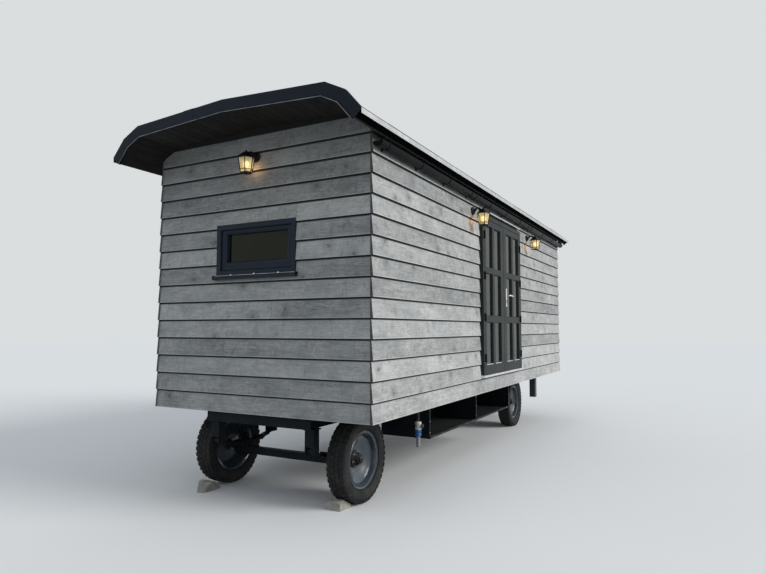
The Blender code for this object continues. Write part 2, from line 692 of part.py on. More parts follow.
def hanger(name, x, y):
    """Inverted U bracket under the rail, with the pin that carries a spring eye."""
    inside = SPRING_WIDTH / 2 + 2 * GAP
    outside = inside + HANGER_CHEEK
    bottom = SPRING_EYE_HEIGHT - HANGER_BELOW_EYE
    crown = SPRING_EYE_HEIGHT + SPRING_EYE_RADIUS + HANGER_ABOVE_EYE
    outline = [(y - outside, bottom), (y - inside, bottom), (y - inside, crown), (y + inside, crown),
               (y + inside, bottom), (y + outside, bottom), (y + outside, RAIL_BOTTOM + STEEL / 2),
               (y - outside, RAIL_BOTTOM + STEEL / 2)]
    bracket = prism(name, outline, "X", x - HANGER_LENGTH / 2, x + HANGER_LENGTH / 2)
    pin = rod(name + "_pin", (x, y - outside - PIN_OVERHANG, SPRING_EYE_HEIGHT), (0, 1, 0),
              SPRING_PIN_RADIUS, 2 * (outside + PIN_OVERHANG), EYE_SIDES)
    return [bracket, pin]


def build_chassis(paints):
    """Two rails, the cross members between them and the spring hangers, welded into one frame."""
    top = CLADDING_BOTTOM - GAP
    reach = HALF_LENGTH - END_MEMBER_INSET
    rail_end = reach - STEEL / 2
    rail_top = top - WELD_STEP
    web_at = RAIL_SPREAD + RAIL_WIDTH / 2
    pieces = []
    for side in (-1, 1):
        outline = channel(side * web_at, RAIL_HEIGHT - 2 * WELD_STEP, RAIL_WIDTH, rail_top, -side)
        pieces.append(prism("rail_%d" % side, outline, "X", -rail_end, rail_end))
        for axle_name, axle in (("front", FRONT_AXLE), ("rear", REAR_AXLE)):
            for end in (-1, 1):
                label = "%s_hanger_%d_%d" % (axle_name, side, end)
                pieces += hanger(label, axle + end * SPRING_HALF_SPAN, side * RAIL_SPREAD)
    pieces.append(prism("rear_member", channel(reach, RAIL_HEIGHT, RAIL_WIDTH, top, -1), "Y",
                        -END_MEMBER_REACH, END_MEMBER_REACH))
    inset = STEEL + 2 * WELD_STEP
    lap = web_at - STEEL / 2
    for i, at in enumerate(CROSS_MEMBERS):
        outline = channel(at - RAIL_WIDTH / 2, RAIL_HEIGHT - 2 * inset, RAIL_WIDTH, top - inset, 1)
        pieces.append(prism("cross_member_%d" % i, outline, "Y", -lap, lap))
    frame = prism("chassis_frame", channel(-reach, RAIL_HEIGHT, RAIL_WIDTH, top, 1), "Y",
                  -END_MEMBER_REACH, END_MEMBER_REACH, paints["chassis"])
    fuse(frame, pieces)


def spring_outline(axle):
    """Graduated leaves: one smooth upper edge, a lower edge that steps at each leaf's end."""
    seat = AXLE_BEAM_TOP + GAP
    pack = SPRING_LEAF * SPRING_LEAVES
    rise = SPRING_EYE_HEIGHT - SPRING_EYE_RADIUS + SPRING_LEAF - (seat + pack)

    def top(offset):
        return seat + pack + rise * (offset / SPRING_HALF_SPAN) ** 2

    marks = [SPRING_HALF_SPAN * (2 * i / SPRING_STATIONS - 1) for i in range(SPRING_STATIONS + 1)]
    upper = [(axle + m, top(m)) for m in marks]
    steps = [(SPRING_HALF_SPAN, SPRING_LEAF)]
    for i in range(1, SPRING_LEAVES):
        span = SPRING_HALF_SPAN * (SPRING_LEAVES - i) / SPRING_LEAVES
        steps += [(span, SPRING_LEAF * i), (span, SPRING_LEAF * (i + 1))]
    right = [(axle + m, top(m) - d) for m, d in steps]
    left = [(axle - m, top(m) - d) for m, d in reversed(steps)]
    middle = [(axle + AXLE_BEAM / 2, seat), (axle - AXLE_BEAM / 2, seat)]
    return upper + right + middle + left


def build_spring(name, axle, y, paints):
    low, high = y - SPRING_WIDTH / 2, y + SPRING_WIDTH / 2
    spring = prism(name, spring_outline(axle), "Y", low, high, paints["chassis"])
    eyes, bores = [], []
    for end in (-1, 1):
        at = (axle + end * SPRING_HALF_SPAN, low, SPRING_EYE_HEIGHT)
        eyes.append(rod("%s_eye_%d" % (name, end), at, (0, 1, 0), SPRING_EYE_RADIUS, SPRING_WIDTH, EYE_SIDES))
        bores.append(rod("%s_bore_%d" % (name, end), (at[0], low - CUT_REACH, at[2]), (0, 1, 0),
                         SPRING_PIN_RADIUS + 2 * GAP, SPRING_WIDTH + 2 * CUT_REACH, EYE_SIDES))
    fuse(spring, eyes)
    cut(spring, bores)


def turned(name, profile, axle, y, side, mat, sides=WHEEL_SIDES):
    """Profile of (radius, outward distance from the wheel's middle), turned about the axle."""
    bm = bmesh.new()
    rings = []
    for k in range(sides):
        angle = 2 * math.pi * k / sides
        rings.append([bm.verts.new((axle + r * math.cos(angle), y + side * out,
                                    WHEEL_CENTRE + r * math.sin(angle)))
                      for r, out in profile])
    count = len(profile)
    for k in range(sides):
        ring, following = rings[k], rings[(k + 1) % sides]
        for i in range(count):
            j = (i + 1) % count
            bm.faces.new((ring[i], ring[j], following[j], following[i]))
    return round_off(add_mesh(name, bm, mat))


def tyre_profile():
    half = TYRE_WIDTH / 2
    bead = RIM_WIDTH / 2 - TYRE_BEAD_INSET
    bore = RIM_RADIUS - RIM_WELL + GAP
    side = [(bore, -bead), (RIM_RADIUS + TYRE_BEAD_RISE, -bead), (RIM_RADIUS + 2 * TYRE_BEAD_RISE, -half * 0.93),
            ((RIM_RADIUS + TYRE_RADIUS) / 2, -half), (TYRE_RADIUS - TYRE_SHOULDER, -half * 0.96),
            (TYRE_RADIUS, -half * 0.80)]
    return side + [(r, -out) for r, out in reversed(side)]


def rim_profile():
    """Flanged barrel with a deep dished disc, hollow towards the outside."""
    half = RIM_WIDTH / 2
    well = RIM_RADIUS - RIM_WELL
    inner = well - RIM_SHEET
    disc = half - DISC_SETBACK
    dish = disc - DISC_DEPTH
    step = inner - DISC_STEP
    front = [(HUB_BORE, disc + HUB_NOSE), (HUB_RADIUS, disc + HUB_NOSE), (HUB_RADIUS, dish),
             (step, disc - DISC_SLOPE), (inner, disc + DISC_SLOPE)]
    barrel = [(inner, half - RIM_SHEET), (RIM_RADIUS, half), (RIM_RADIUS, half - RIM_SHEET),
              (well, half - FLANGE_WIDTH), (well, FLANGE_WIDTH - half), (RIM_RADIUS, RIM_SHEET - half),
              (RIM_RADIUS, -half), (inner, RIM_SHEET - half)]
    back = [(inner, disc + DISC_SLOPE - DISC_SHEET), (step, disc - DISC_SLOPE - DISC_SHEET),
            (HUB_RADIUS, dish - DISC_SHEET), (HUB_BORE, dish - DISC_SHEET - HUB_NOSE)]
    return front + barrel + back


def build_axle(name, axle, paints):
    beam_half = TYRE_MIDDLE - RIM_WIDTH / 2 - AXLE_TO_RIM
    centre_half = AXLE_BEAM / 2
    beam = block(name + "_axle", (axle - centre_half, -beam_half, AXLE_BEAM_TOP - AXLE_BEAM),
                 (axle + centre_half, beam_half, AXLE_BEAM_TOP), paints["chassis"])
    stub_end = TYRE_MIDDLE + RIM_WIDTH / 2 - DISC_SETBACK + HUB_NOSE - STUB_SETBACK
    stubs = []
    for side in (-1, 1):
        start = side * (beam_half - STUB_LAP)
        length = stub_end - (beam_half - STUB_LAP)
        stubs.append(rod("%s_stub_%d" % (name, side), (axle, start, WHEEL_CENTRE), (0, side, 0),
                         STUB_RADIUS, length, STUB_SIDES))
    fuse(beam, stubs)


def build_running_gear(paints):
    for name, axle in (("front", FRONT_AXLE), ("rear", REAR_AXLE)):
        build_axle(name, axle, paints)
        for side_name, side in (("door_side", -1), ("back", 1)):
            label = "%s_%s" % (name, side_name)
            build_spring("spring_" + label, axle, side * RAIL_SPREAD, paints)
            middle = side * TYRE_MIDDLE
            tyre = turned("tyre_" + label, tyre_profile(), axle, middle, side, paints["rubber"])
            wheel = turned("wheel_" + label, rim_profile(), axle, middle, side, paints["wheel"])
            pivot(tyre, (axle, middle, WHEEL_CENTRE))
            pivot(wheel, (axle, middle, WHEEL_CENTRE))


# Under the floor

def build_tray(paints):
    top = CLADDING_BOTTOM - GAP
    tray = block("storage_tray", (TRAY_X[0], TRAY_FRONT, TRAY_BOTTOM), (TRAY_X[1], TRAY_BACK, top),
                 paints["chassis"])
    bays = ((TRAY_X[0] + TRAY_SHEET, TRAY_DIVIDER - TRAY_SHEET / 2),
            (TRAY_DIVIDER + TRAY_SHEET / 2, TRAY_X[1] - TRAY_SHEET))
    cut(tray, [block("bay_%d" % i, (low, TRAY_FRONT - CUT_REACH, TRAY_BOTTOM + TRAY_SHEET),
                     (high, TRAY_BACK - TRAY_SHEET, top + CUT_REACH)) for i, (low, high) in enumerate(bays)])


def build_inlet(paints):
    """Valve with a round knob under a thin pipe, and a coupling with its tail below it."""
    def upright(name, radius, low, high, mat=None):
        return rod(name, (INLET_X, INLET_Y, low), (0, 0, 1), radius, high - low, INLET_SIDES, mat)

    valve_middle = (INLET_VALVE[1] + INLET_VALVE[2]) / 2
    pipe = upright("water_inlet", INLET_PIPE_RADIUS, INLET_TAIL[2] - LAP, CLADDING_BOTTOM - GAP, paints["plastic"])
    fuse(pipe, [upright("inlet_tail", *INLET_TAIL), upright("inlet_coupling", *INLET_COUPLING),
                upright("inlet_valve", *INLET_VALVE),
                rod("inlet_spindle", (INLET_X, INLET_Y, valve_middle), (0, -1, 0), INLET_SPINDLE_RADIUS,
                    INLET_SPINDLE_LENGTH, INLET_SIDES)])


def build_legs(paints):
    half = LEG_SIZE / 2
    for name, side in (("door_side", -1), ("back", 1)):
        y = side * LEG_Y
        block("steady_leg_" + name, (LEG_X - half, y - half, LEG_BOTTOM),
              (LEG_X + half, y + half, CLADDING_BOTTOM - GAP), paints["chassis"])


def build_blocks(paints):
    """Loose wedge-shaped stones on the ground in front of the front wheels, clear of the tread."""
    for name, (clearance, length, low, high) in (("door_side", BLOCK_DOOR_SIDE), ("back", BLOCK_BACK)):
        reach = TYRE_RADIUS + clearance
        toe, crown = (FRONT_AXLE - math.sqrt(reach ** 2 - (WHEEL_CENTRE - height) ** 2)
                      for height in (BLOCK_TOE, BLOCK_HEIGHT))
        outline = [(toe - length, 0.0), (toe, 0.0), (toe, BLOCK_TOE), (crown, BLOCK_HEIGHT),
                   (toe - length + BLOCK_REAR_SLOPE, BLOCK_REAR_HEIGHT)]
        prism("wheel_block_" + name, outline, "Y", low, high, paints["stone"])


def stand_in_the_middle():
    """Carry the whole hut on one empty, so that the origin is under the middle of its outline."""
    pieces = list(bpy.data.objects)
    hut = bpy.data.objects.new("hut", None)
    bpy.context.scene.collection.objects.link(hut)
    hut.location = (MIDDLE_X, MIDDLE_Y, 0.0)
    for piece in pieces:
        piece.parent = hut


def build():
    clear_scene()
    paints = {
        "cladding": paint("grey stained boards", (0.33, 0.345, 0.35), 0.75),
        "floor": paint("floor boards", (0.30, 0.22, 0.15), 0.6),
        "soffit": paint("soffit boards", (0.10, 0.095, 0.09), 0.7),
        "anthracite": paint("anthracite sheet", (0.055, 0.065, 0.08), 0.4, 0.3),
        "black": paint("black coated metal", (0.012, 0.012, 0.014), 0.4, 0.2),
        "door": paint("door paint", (0.075, 0.085, 0.095), 0.45),
        "window": paint("window paint", (0.04, 0.052, 0.075), 0.4),
        "aluminium": paint("aluminium", (0.75, 0.76, 0.77), 0.35, 1.0),
        "steel": paint("brushed steel", (0.6, 0.6, 0.6), 0.3, 1.0),
        "glass": paint("glass", (0.10, 0.12, 0.11), 0.05, 0.0, 0.35),
        "chassis": paint("chassis paint", (0.05, 0.065, 0.085), 0.5, 0.2),
        "wheel": paint("wheel paint", (0.22, 0.27, 0.33), 0.5, 0.2),
        "rubber": paint("tyre rubber", (0.02, 0.02, 0.02), 0.85),
        "plastic": paint("grey plastic", (0.5, 0.52, 0.54), 0.5),
        "stone": paint("concrete", (0.45, 0.44, 0.41), 0.9),
    }
    build_walls(paints)
    build_roof(paints)
    build_gutter(paints)
    build_door(paints)
    build_window(paints)
    build_lanterns(paints)
    build_chassis(paints)
    build_running_gear(paints)
    build_tray(paints)
    build_inlet(paints)
    build_legs(paints)
    build_blocks(paints)
    stand_in_the_middle()


build()
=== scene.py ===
import random
from math import ceil, cos, pi, radians, sin, sqrt

import bmesh
import bpy
from mathutils import Matrix, Vector, noise


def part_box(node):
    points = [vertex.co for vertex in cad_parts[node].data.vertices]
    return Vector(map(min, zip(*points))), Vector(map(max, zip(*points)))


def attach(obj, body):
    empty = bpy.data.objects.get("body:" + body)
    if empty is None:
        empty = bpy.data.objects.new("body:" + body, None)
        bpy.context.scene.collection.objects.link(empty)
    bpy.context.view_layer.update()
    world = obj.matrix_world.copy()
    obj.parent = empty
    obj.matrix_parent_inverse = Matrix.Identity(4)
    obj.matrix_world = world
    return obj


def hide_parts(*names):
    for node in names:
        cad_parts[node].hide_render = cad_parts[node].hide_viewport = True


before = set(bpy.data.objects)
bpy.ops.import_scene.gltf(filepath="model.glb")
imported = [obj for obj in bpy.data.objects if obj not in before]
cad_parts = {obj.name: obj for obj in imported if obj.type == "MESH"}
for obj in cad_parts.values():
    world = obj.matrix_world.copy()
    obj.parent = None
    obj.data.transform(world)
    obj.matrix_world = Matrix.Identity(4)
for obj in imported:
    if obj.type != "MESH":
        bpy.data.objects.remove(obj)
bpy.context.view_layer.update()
print("frame loaded,", len(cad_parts), "parts")

# Everything is drawn about the middle of the hut and then carried to where the frame stands
floorLow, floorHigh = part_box("floor")
middle = Vector(((floorLow.x + floorHigh.x) / 2, (floorLow.y + floorHigh.y) / 2, 0))
wallLow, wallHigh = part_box("back_wall")
halfLength = (wallHigh.x - wallLow.x) / 2
halfWidth = wallHigh.y - middle.y
bodyBottom = wallLow.z
floorTop = floorHigh.z
wallThickness = wallHigh.y - wallLow.y
hutSides = ("DoorSide", -1, "door_side"), ("Back", 1, "back")


# Small makers that every piece uses

def joinRows(bm, rows, around=False):
    # quads between each ring of points and the next; around joins the last ring to the first
    faces = []
    for one, two in zip(rows, rows[1:] + (rows[:1] if around else [])):
        for i in range(len(one)):
            j = (i + 1) % len(one)
            faces.append(bm.faces.new((one[i], one[j], two[j], two[i])))
    return faces


def addPrism(bm, outline, axis, start, end):
    # outline is (y, z) for a run along X, (x, z) along Y, (x, y) along Z
    cut = "XYZ".index(axis)
    first, last = ([bm.verts.new((*p[:cut], at, *p[cut:])) for p in outline] for at in (start, end))
    return [bm.faces.new(first), bm.faces.new(last[::-1])] + joinRows(bm, [first, last])


def square(low, bottom, high, top):
    return [(low, bottom), (high, bottom), (high, top), (low, top)]


def addBox(bm, low, high, edge=0.0015):
    # box with its edges eased, one small flat on each
    ends = [[pick(pair) for pair in zip(low, high)] for pick in (min, max)]
    edge = min(edge, 0.4 * min(b - a for a, b in zip(*ends)))
    corner = {}
    for key in range(8):
        side = [key >> i & 1 for i in range(3)]
        for flat in range(3):
            ease = [0 if i == flat else (-edge if side[i] else edge) for i in range(3)]
            corner[key, flat] = bm.verts.new([ends[side[i]][i] + ease[i] for i in range(3)])
    for flat in range(3):
        one, two = [i for i in range(3) if i != flat]
        for side in (0, 1):
            ring = [side << flat | a << one | b << two for a, b in ((0, 0), (1, 0), (1, 1), (0, 1))]
            bm.faces.new([corner[key, flat] for key in ring])
        for a, b in ((0, 0), (0, 1), (1, 0), (1, 1)):
            key = a << one | b << two
            far = key | 1 << flat
            bm.faces.new((corner[key, one], corner[far, one], corner[far, two], corner[key, two]))
    for key in range(8):
        bm.faces.new([corner[key, flat] for flat in range(3)])


def addTurned(bm, profile, centre, axis, sides, ring=False, phase=0.0):
    # profile is (radius, distance along the axis); ring joins its last point to its first
    turn = Vector((0, 0, 1)).rotation_difference(Vector(axis))
    rows = []
    for radius, along in profile:
        angles = [2 * pi * (k + phase) / sides for k in range(1 if radius < 1e-6 else sides)]
        rows.append([bm.verts.new(turn @ Vector((radius * cos(a), radius * sin(a), along)) + Vector(centre))
            for a in angles])
    for one, two in zip(rows, rows[1:] + (rows[:1] if ring else [])):
        if len(one) == len(two):
            joinRows(bm, [one, two])
            continue
        for k in range(sides):
            j = (k + 1) % sides
            bm.faces.new((one[0], two[k], two[j]) if len(one) == 1 else (one[k], one[j], two[0]))
    if not ring:
        for row in (rows[0], rows[-1]):
            if len(row) > 1:
                bm.faces.new(row)


def addRod(bm, start, end, radius, sides=16, edge=0.0):
    start, end = Vector(start), Vector(end)
    length = (end - start).length
    edge = min(edge, radius * 0.5, length * 0.4)
    profile = [(radius, 0), (radius, length)]
    if edge:
        profile = [(radius - edge, 0), (radius, edge), (radius, length - edge), (radius - edge, length)]
    addTurned(bm, profile, start, (end - start).normalized(), sides)


def addTube(bm, path, radius, sides=12, closed=False):
    # round bar along points; radius may be one number or one per point
    points = [Vector(p) for p in path]
    last = len(points) - 1
    rows, side = [], None
    for i, point in enumerate(points):
        if closed:
            along = (points[(i + 1) % (last + 1)] - points[i - 1]).normalized()
        else:
            along = (points[min(i + 1, last)] - points[max(i - 1, 0)]).normalized()
        if side is None:
            side = along.cross(Vector((0, 0, 1)) if abs(along.z) < 0.9 else Vector((1, 0, 0))).normalized()
        side = (side - along * side.dot(along)).normalized()
        up = along.cross(side)
        size = radius[i] if isinstance(radius, list) else radius
        angles = [2 * pi * k / sides for k in range(sides)]
        rows.append([bm.verts.new(point + side * cos(a) * size + up * sin(a) * size) for a in angles])
    joinRows(bm, rows, closed)
    if not closed:
        bm.faces.new(rows[0])
        bm.faces.new(rows[-1])


def addBolt(bm, at, out, size, tail=0.0):
    # hexagon head on a washer, standing out from a face, with the bolt's end past it
    at, out, rise = Vector(at), Vector(out), size * 0.16
    addRod(bm, at - out * 0.0005, at + out * rise, size * 1.12, 16, size * 0.05)
    addTurned(bm, [(size * 0.9, rise), (size * 0.9, rise + size * 0.6), (size * 0.72, rise + size * 0.72)], at,
        out, 6)
    if tail:
        top = rise + size * 0.7
        addRod(bm, at + out * top, at + out * (top + tail), size * 0.5, 10, size * 0.08)


def addScrew(bm, at, out, size):
    # domed head with a shallow cross in it
    addTurned(bm, [(size, -0.0004), (size, size * 0.16), (size * 0.78, size * 0.42), (size * 0.4, size * 0.55),
        (size * 0.28, size * 0.3), (0, size * 0.26)], at, out, 12)


def addToScene(item):
    bpy.context.scene.collection.objects.link(item)
    return item


def addPiece(name, bm, finish, body="hut", standsFor=(), slot=None, sharp=35, at=(0, 0, 0)):
    # at is where the middle that the piece was drawn about lies in the hut
    bmesh.ops.recalc_face_normals(bm, faces=bm.faces)
    mesh = bpy.data.meshes.new(name)
    bm.to_mesh(mesh)
    bm.free()
    mesh.transform(Matrix.Translation(middle + Vector(at)))
    mesh.shade_smooth()
    mesh.set_sharp_from_angle(angle=radians(sharp))
    mesh.materials.append(finishes[finish])
    piece = addToScene(bpy.data.objects.new(name, mesh))
    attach(piece, body)
    slot = slot or slots.get(finish)
    if standsFor:
        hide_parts(*([standsFor] if isinstance(standsFor, str) else standsFor))


# Finishes, and the slot that each one usually goes into

slots = {
    "boards": "cladding", "lining": "cladding", "batten": "cladding", "floor": "floor_boards",
    "soffit": "soffit_boards", "eave": "soffit_boards", "sheet": "anthracite_sheet", "fascia": "anthracite_sheet",
    "trim": "anthracite_sheet", "wornEdge": "anthracite_sheet", "gutter": "black_metal", "black": "black_metal",
    "seal": "black_metal", "door": "door_paint", "window": "window_paint", "aluminium": "threshold_metal",
    "steel": "handle_steel", "glass": "glass", "windowGlass": "glass", "bulb": "lamp_glass",
    "lampGlass": "lamp_glass", "chassis": "chassis_paint", "legPaint": "chassis_paint", "wheel": "wheel_paint",
    "hub": "wheel_paint", "nuts": "wheel_paint", "rubber": "tyre_rubber", "greyPlastic": "grey_plastic",
    "whitePlastic": "grey_plastic", "bluePlastic": "grey_plastic", "concrete": "concrete"}


class Finish:
    # one material with its nodes; most calls add one node and return the socket that it gives
    def __init__(self, name, roughness=0.5, metallic=0.0):
        self.material = bpy.data.materials.new(name)
        self.material.use_nodes = True
        self.tree = self.material.node_tree
        self.shader = self.tree.nodes["Principled BSDF"]
        self.fill(self.shader, {"Roughness": roughness, "Metallic": metallic})
        self.place = self.add("TexCoord")["Object"]

    def fill(self, node, values):
        # a socket is joined on, anything else is set on the node's own input
        for key, value in values.items():
            if hasattr(value, "is_output"):
                self.tree.links.new(value, node.inputs[key])
            elif value is not None:
                node.inputs[key].default_value = value

    def add(self, kind, values={}, **settings):
        node = self.tree.nodes.new("ShaderNode" + kind)
        for key, value in settings.items():
            setattr(node, key, value)
        self.fill(node, values)
        return node.outputs

    def stretched(self, scale, place=None):
        return self.add("Mapping", {"Scale": scale, "Vector": place or self.place})["Vector"]

    def clouds(self, scale, detail=4, place=None, rough=0.55, twist=0.0):
        return self.add("TexNoise", {"Scale": scale, "Detail": detail, "Roughness": rough, "Distortion": twist,
            "Vector": place or self.place})["Fac"]

    def cells(self, scale, place=None, give="Distance", flat=False):
        return self.add("TexVoronoi", {"Scale": scale, "Vector": place or self.place},
            voronoi_dimensions="2D" if flat else "3D")[give]

    def fit(self, value, *ends):
        # from low and high, to low and high (0 and 1 where they aren't given)
        return self.add("MapRange", dict(enumerate((value, *(*ends, 0.0, 1.0)[:4]))))[0]

    def sums(self, kind, *values):
        return self.add("Math", dict(enumerate(values)), operation=kind)[0]

    def times(self, one, two):
        return self.sums("MULTIPLY", one, two)

    def plus(self, value, weight, rest):
        return self.sums("MULTIPLY_ADD", value, weight, rest)

    def blend(self, share, *colours):
        one, two = [(*c, 1.0)[:4] if isinstance(c, (tuple, list)) else c for c in colours]
        return self.add("Mix", {0: share, 6: one, 7: two}, data_type="RGBA")[2]

    def layout(self, name):
        return self.add("UVMap", uv_map=name)["UV"]

    def parts(self, vector):
        return self.add("SeparateXYZ", {0: vector})

    def done(self, colour=None, roughness=None, height=None, relief=0.001, strength=0.6):
        bump = None
        if height is not None:
            bump = self.add("Bump", {"Strength": strength, "Distance": relief, "Height": height})["Normal"]
        self.fill(self.shader, {"Base Color": colour, "Roughness": roughness, "Normal": bump})
        return self.material


def stainedTimber(name, light, dark, knot, roughness, fibre=1.0, weathered=0.5, relief=0.0012, lapped=None):
    f = Finish(name, roughness)
    where = f.layout("grain")

    def layer(along, across, detail, rough=0.6, twist=0.0):
        return f.clouds(1.0, detail, f.stretched((along, across, 1.0), where), rough, twist)

    fine, streak = layer(4.0, 190.0, 4, 0.65), layer(2.2, 42.0, 4, 0.65, 1.6)
    mottle, smudge = layer(9.0, 19.0, 6, 0.78, 1.3), layer(17.0, 7.0, 4, 0.65, 0.5)
    swirl = f.add("TexWave", {"Scale": 16.0, "Distortion": 11.0, "Detail": 3.0, "Detail Scale": 0.9,
        "Vector": f.stretched((0.28, 1.0, 1.0), where)}, bands_direction="Y")["Fac"]
    blot, sawn = layer(1.7, 3.6, 3), layer(62.0, 11.0, 3)
    # small pale and dark flecks that come in patches
    fleck, patchy = layer(58.0, 44.0, 2), f.fit(layer(4.2, 6.5, 3, 0.6, 0.8), 0.5, 0.62)
    # knots, round or a little long, and some only half there
    cell = f.stretched((4.1, 5.2, 1.0), f.blend(0.075, where, f.clouds(13.0, 4, where)))
    knotDistance = f.cells(1.0, cell, flat=True)
    chosen = f.fit(f.parts(f.cells(1.0, cell, "Color", True))[0], 0.6, 0.92)
    knotCore = f.times(f.fit(knotDistance, 0.03, 0.085, 1.0, 0.0), chosen)
    knotHalo = f.times(f.fit(knotDistance, 0.04, 0.36, 1.0, 0.0), chosen)
    knotHalo = f.times(knotHalo, f.fit(mottle, 0.3, 0.54))
    shade = f.times(mottle, 0.66 * weathered)
    boardTint = f.add("Attribute", attribute_name="tint")["Fac"]
    for value, weight in ((fine, 0.22 * fibre), (streak, 0.16 * fibre), (swirl, 0.022 * fibre),
            (blot, 0.44 * weathered), (sawn, 0.17 * weathered), (boardTint, 0.13)):
        shade = f.plus(value, weight, shade)
    shade = f.fit(shade, 0.27 * fibre + 0.405 * weathered, 0.325 * fibre + 0.73 * weathered)
    colour = f.blend(shade, dark, light)
    for share, over in ((f.fit(smudge, 0.56, 0.74, 0.0, 0.42), knot),
            (f.times(f.fit(fleck, 0.6, 0.7, 0.0, 0.34), patchy), knot),
            (f.times(f.fit(fleck, 0.3, 0.38, 0.34, 0.0), patchy), [min(1, 1.3 * c) for c in light]),
            (f.times(knotHalo, 0.56), knot), (f.times(knotCore, 0.58), knot)):
        colour = f.blend(share, colour, over)
    height = f.plus(fine, 0.5, f.times(streak, 0.3))
    for value, weight in ((sawn, 0.22), (mottle, 0.3), (knotCore, -0.35)):
        height = f.plus(value, weight, height)
    if lapped:
        # cool and warm patches in the stain
        cool = f.fit(layer(2.6, 2.6, 3), 0.42, 0.62)
        colour = f.blend(f.times(cool, 0.24), colour, [1.04 * dark[0], 1.12 * dark[1], 1.24 * dark[2]])
        # painted shade darkens the strip under each lap and each board's underside, the sawn ends are darkened as
        # end grain, and a painted highlight lightens each board's lower edge
        ends, up = f.parts(f.layout("rise"))[:2]
        rise = f.plus(mottle, 0.006, up)
        under = f.fit(rise, lapped - 0.015, lapped - 0.009)
        butt = f.fit(up, 0.0008, 0.0016, 1.0, 0.0)
        lapShadeAndEndGrain = f.sums("MAXIMUM", under, f.sums("MAXIMUM", butt, f.times(ends, 0.8)))
        # painted highlight along each board's lower edge
        colour = f.blend(f.fit(rise, 0.007, 0.013, 0.38, 0.0), colour, [min(1, 1.35 * c) for c in light])
        # painted shade under the laps and on the undersides, with dark end grain on the sawn ends
        colour = f.blend(f.times(lapShadeAndEndGrain, 0.97), colour, [0.14 * c for c in knot])
    f.fill(f.shader, {"Specular IOR Level": 0.3 if lapped else 0.12})
    return f.done(colour, f.fit(fine, 0.2, 0.8, roughness - 0.12, roughness + 0.1), height, relief)


def coatedMetal(name, colour, dull, dust, roughness, dustAmount=0.25, spot=60.0, relief=0.0003, broad=2.5,
        gloss=0.25, coat=0.0, dustAndTopLight=0.0):
    f = Finish(name, roughness)
    f.fill(f.shader, {"Specular IOR Level": gloss, "Coat Weight": coat, "Coat Roughness": 0.12})
    wide, fine, speck = f.clouds(broad, 4), f.clouds(spot, 3), f.cells(spot * 1.7)
    base = f.blend(f.fit(wide, 0.35, 0.68), colour, dull)
    base = f.blend(f.times(f.fit(f.times(wide, fine), 0.2, 0.42), dustAmount), base, dust)
    if dustAndTopLight:
        # surfaces that face upwards are lightened: settled dust, and painted light where they face the sky
        upward = f.parts(f.add("NewGeometry")["Normal"])[2]
        base = f.blend(f.fit(f.plus(wide, 0.25, upward), 0.18, 0.62, 0.0, dustAndTopLight), base,
            [1.25 * c for c in dust])
    rough = f.fit(f.plus(fine, 0.5, f.times(wide, 0.5)), 0.3, 0.7, roughness - 0.08, roughness + 0.12)
    return f.done(base, rough, f.plus(fine, 0.7, f.times(speck, 0.3)), relief)


def bareMetal(name, colour, dark, roughness, brush=(1.0, 1.0, 1.0)):
    f = Finish(name, roughness, 1.0)
    lines = f.clouds(300.0, 3, f.stretched(brush))
    base = f.blend(f.fit(f.clouds(9.0, 3), 0.3, 0.7), colour, dark)
    return f.done(base, f.fit(lines, 0.2, 0.8, roughness - 0.08, roughness + 0.1), lines, 0.0001)


def clearGlass(name, tintColour, bend=1.47):
    # thin dark panes, seen through straight so that they stay clean of speckle
    f = Finish(name, 0.02)
    f.fill(f.shader, {"Alpha": 0.9, "IOR": bend, "Specular Tint": (0.9, 0.96, 0.72, 1.0)})
    smear = f.clouds(4.0, 4)
    colour = f.blend(f.fit(smear, 0.4, 0.75), tintColour, [0.8 * c for c in tintColour])
    return f.done(colour, f.fit(smear, 0.4, 0.8, 0.02, 0.06))


def brokenConcrete(name):
    f = Finish(name, 0.9)
    wide, fine, grit = f.clouds(14.0, 5), f.clouds(90.0, 5), f.cells(140.0)
    colour = f.blend(f.fit(wide, 0.32, 0.7), (0.5, 0.48, 0.43), (0.27, 0.26, 0.225))
    colour = f.blend(f.fit(grit, 0.0, 0.35, 0.55, 0.0), colour, (0.16, 0.15, 0.14))
    colour = f.blend(f.fit(fine, 0.5, 0.75, 0.0, 0.5), colour, (0.66, 0.65, 0.6))
    height = f.plus(fine, 0.6, f.times(grit, 0.5))
    return f.done(colour, f.fit(fine, 0.3, 0.7, 0.82, 0.98), height, 0.004)


def litBulb(name):
    f = Finish(name, 0.3)
    glow = f.blend(f.fit(f.clouds(60.0, 2), 0.3, 0.7), (1.0, 0.72, 0.36), (1.0, 0.84, 0.54))
    f.fill(f.shader, {"Emission Color": glow, "Emission Strength": 1.7})
    return f.done((1.0, 0.85, 0.6, 1.0))


def lanternGlass(name):
    # seeded glass with a painted glow that stands for the bulb's light spreading through it
    f = Finish(name, 0.35)
    seeds, patch = f.clouds(55.0, 3), f.clouds(14.0, 2)
    warm = f.blend(f.fit(patch, 0.35, 0.65), (1.0, 0.78, 0.38), (1.0, 0.87, 0.52))
    f.fill(f.shader, {"Transmission Weight": 0.85, "Specular IOR Level": 0.4, "Emission Color": warm,
        "Emission Strength": f.fit(patch, 0.3, 0.7, 0.06, 0.2)})
    colour = f.blend(f.fit(seeds, 0.3, 0.7), (0.9, 0.82, 0.6), (0.74, 0.64, 0.42))
    return f.done(colour, f.fit(seeds, 0.3, 0.7, 0.28, 0.42), seeds, 0.0008)


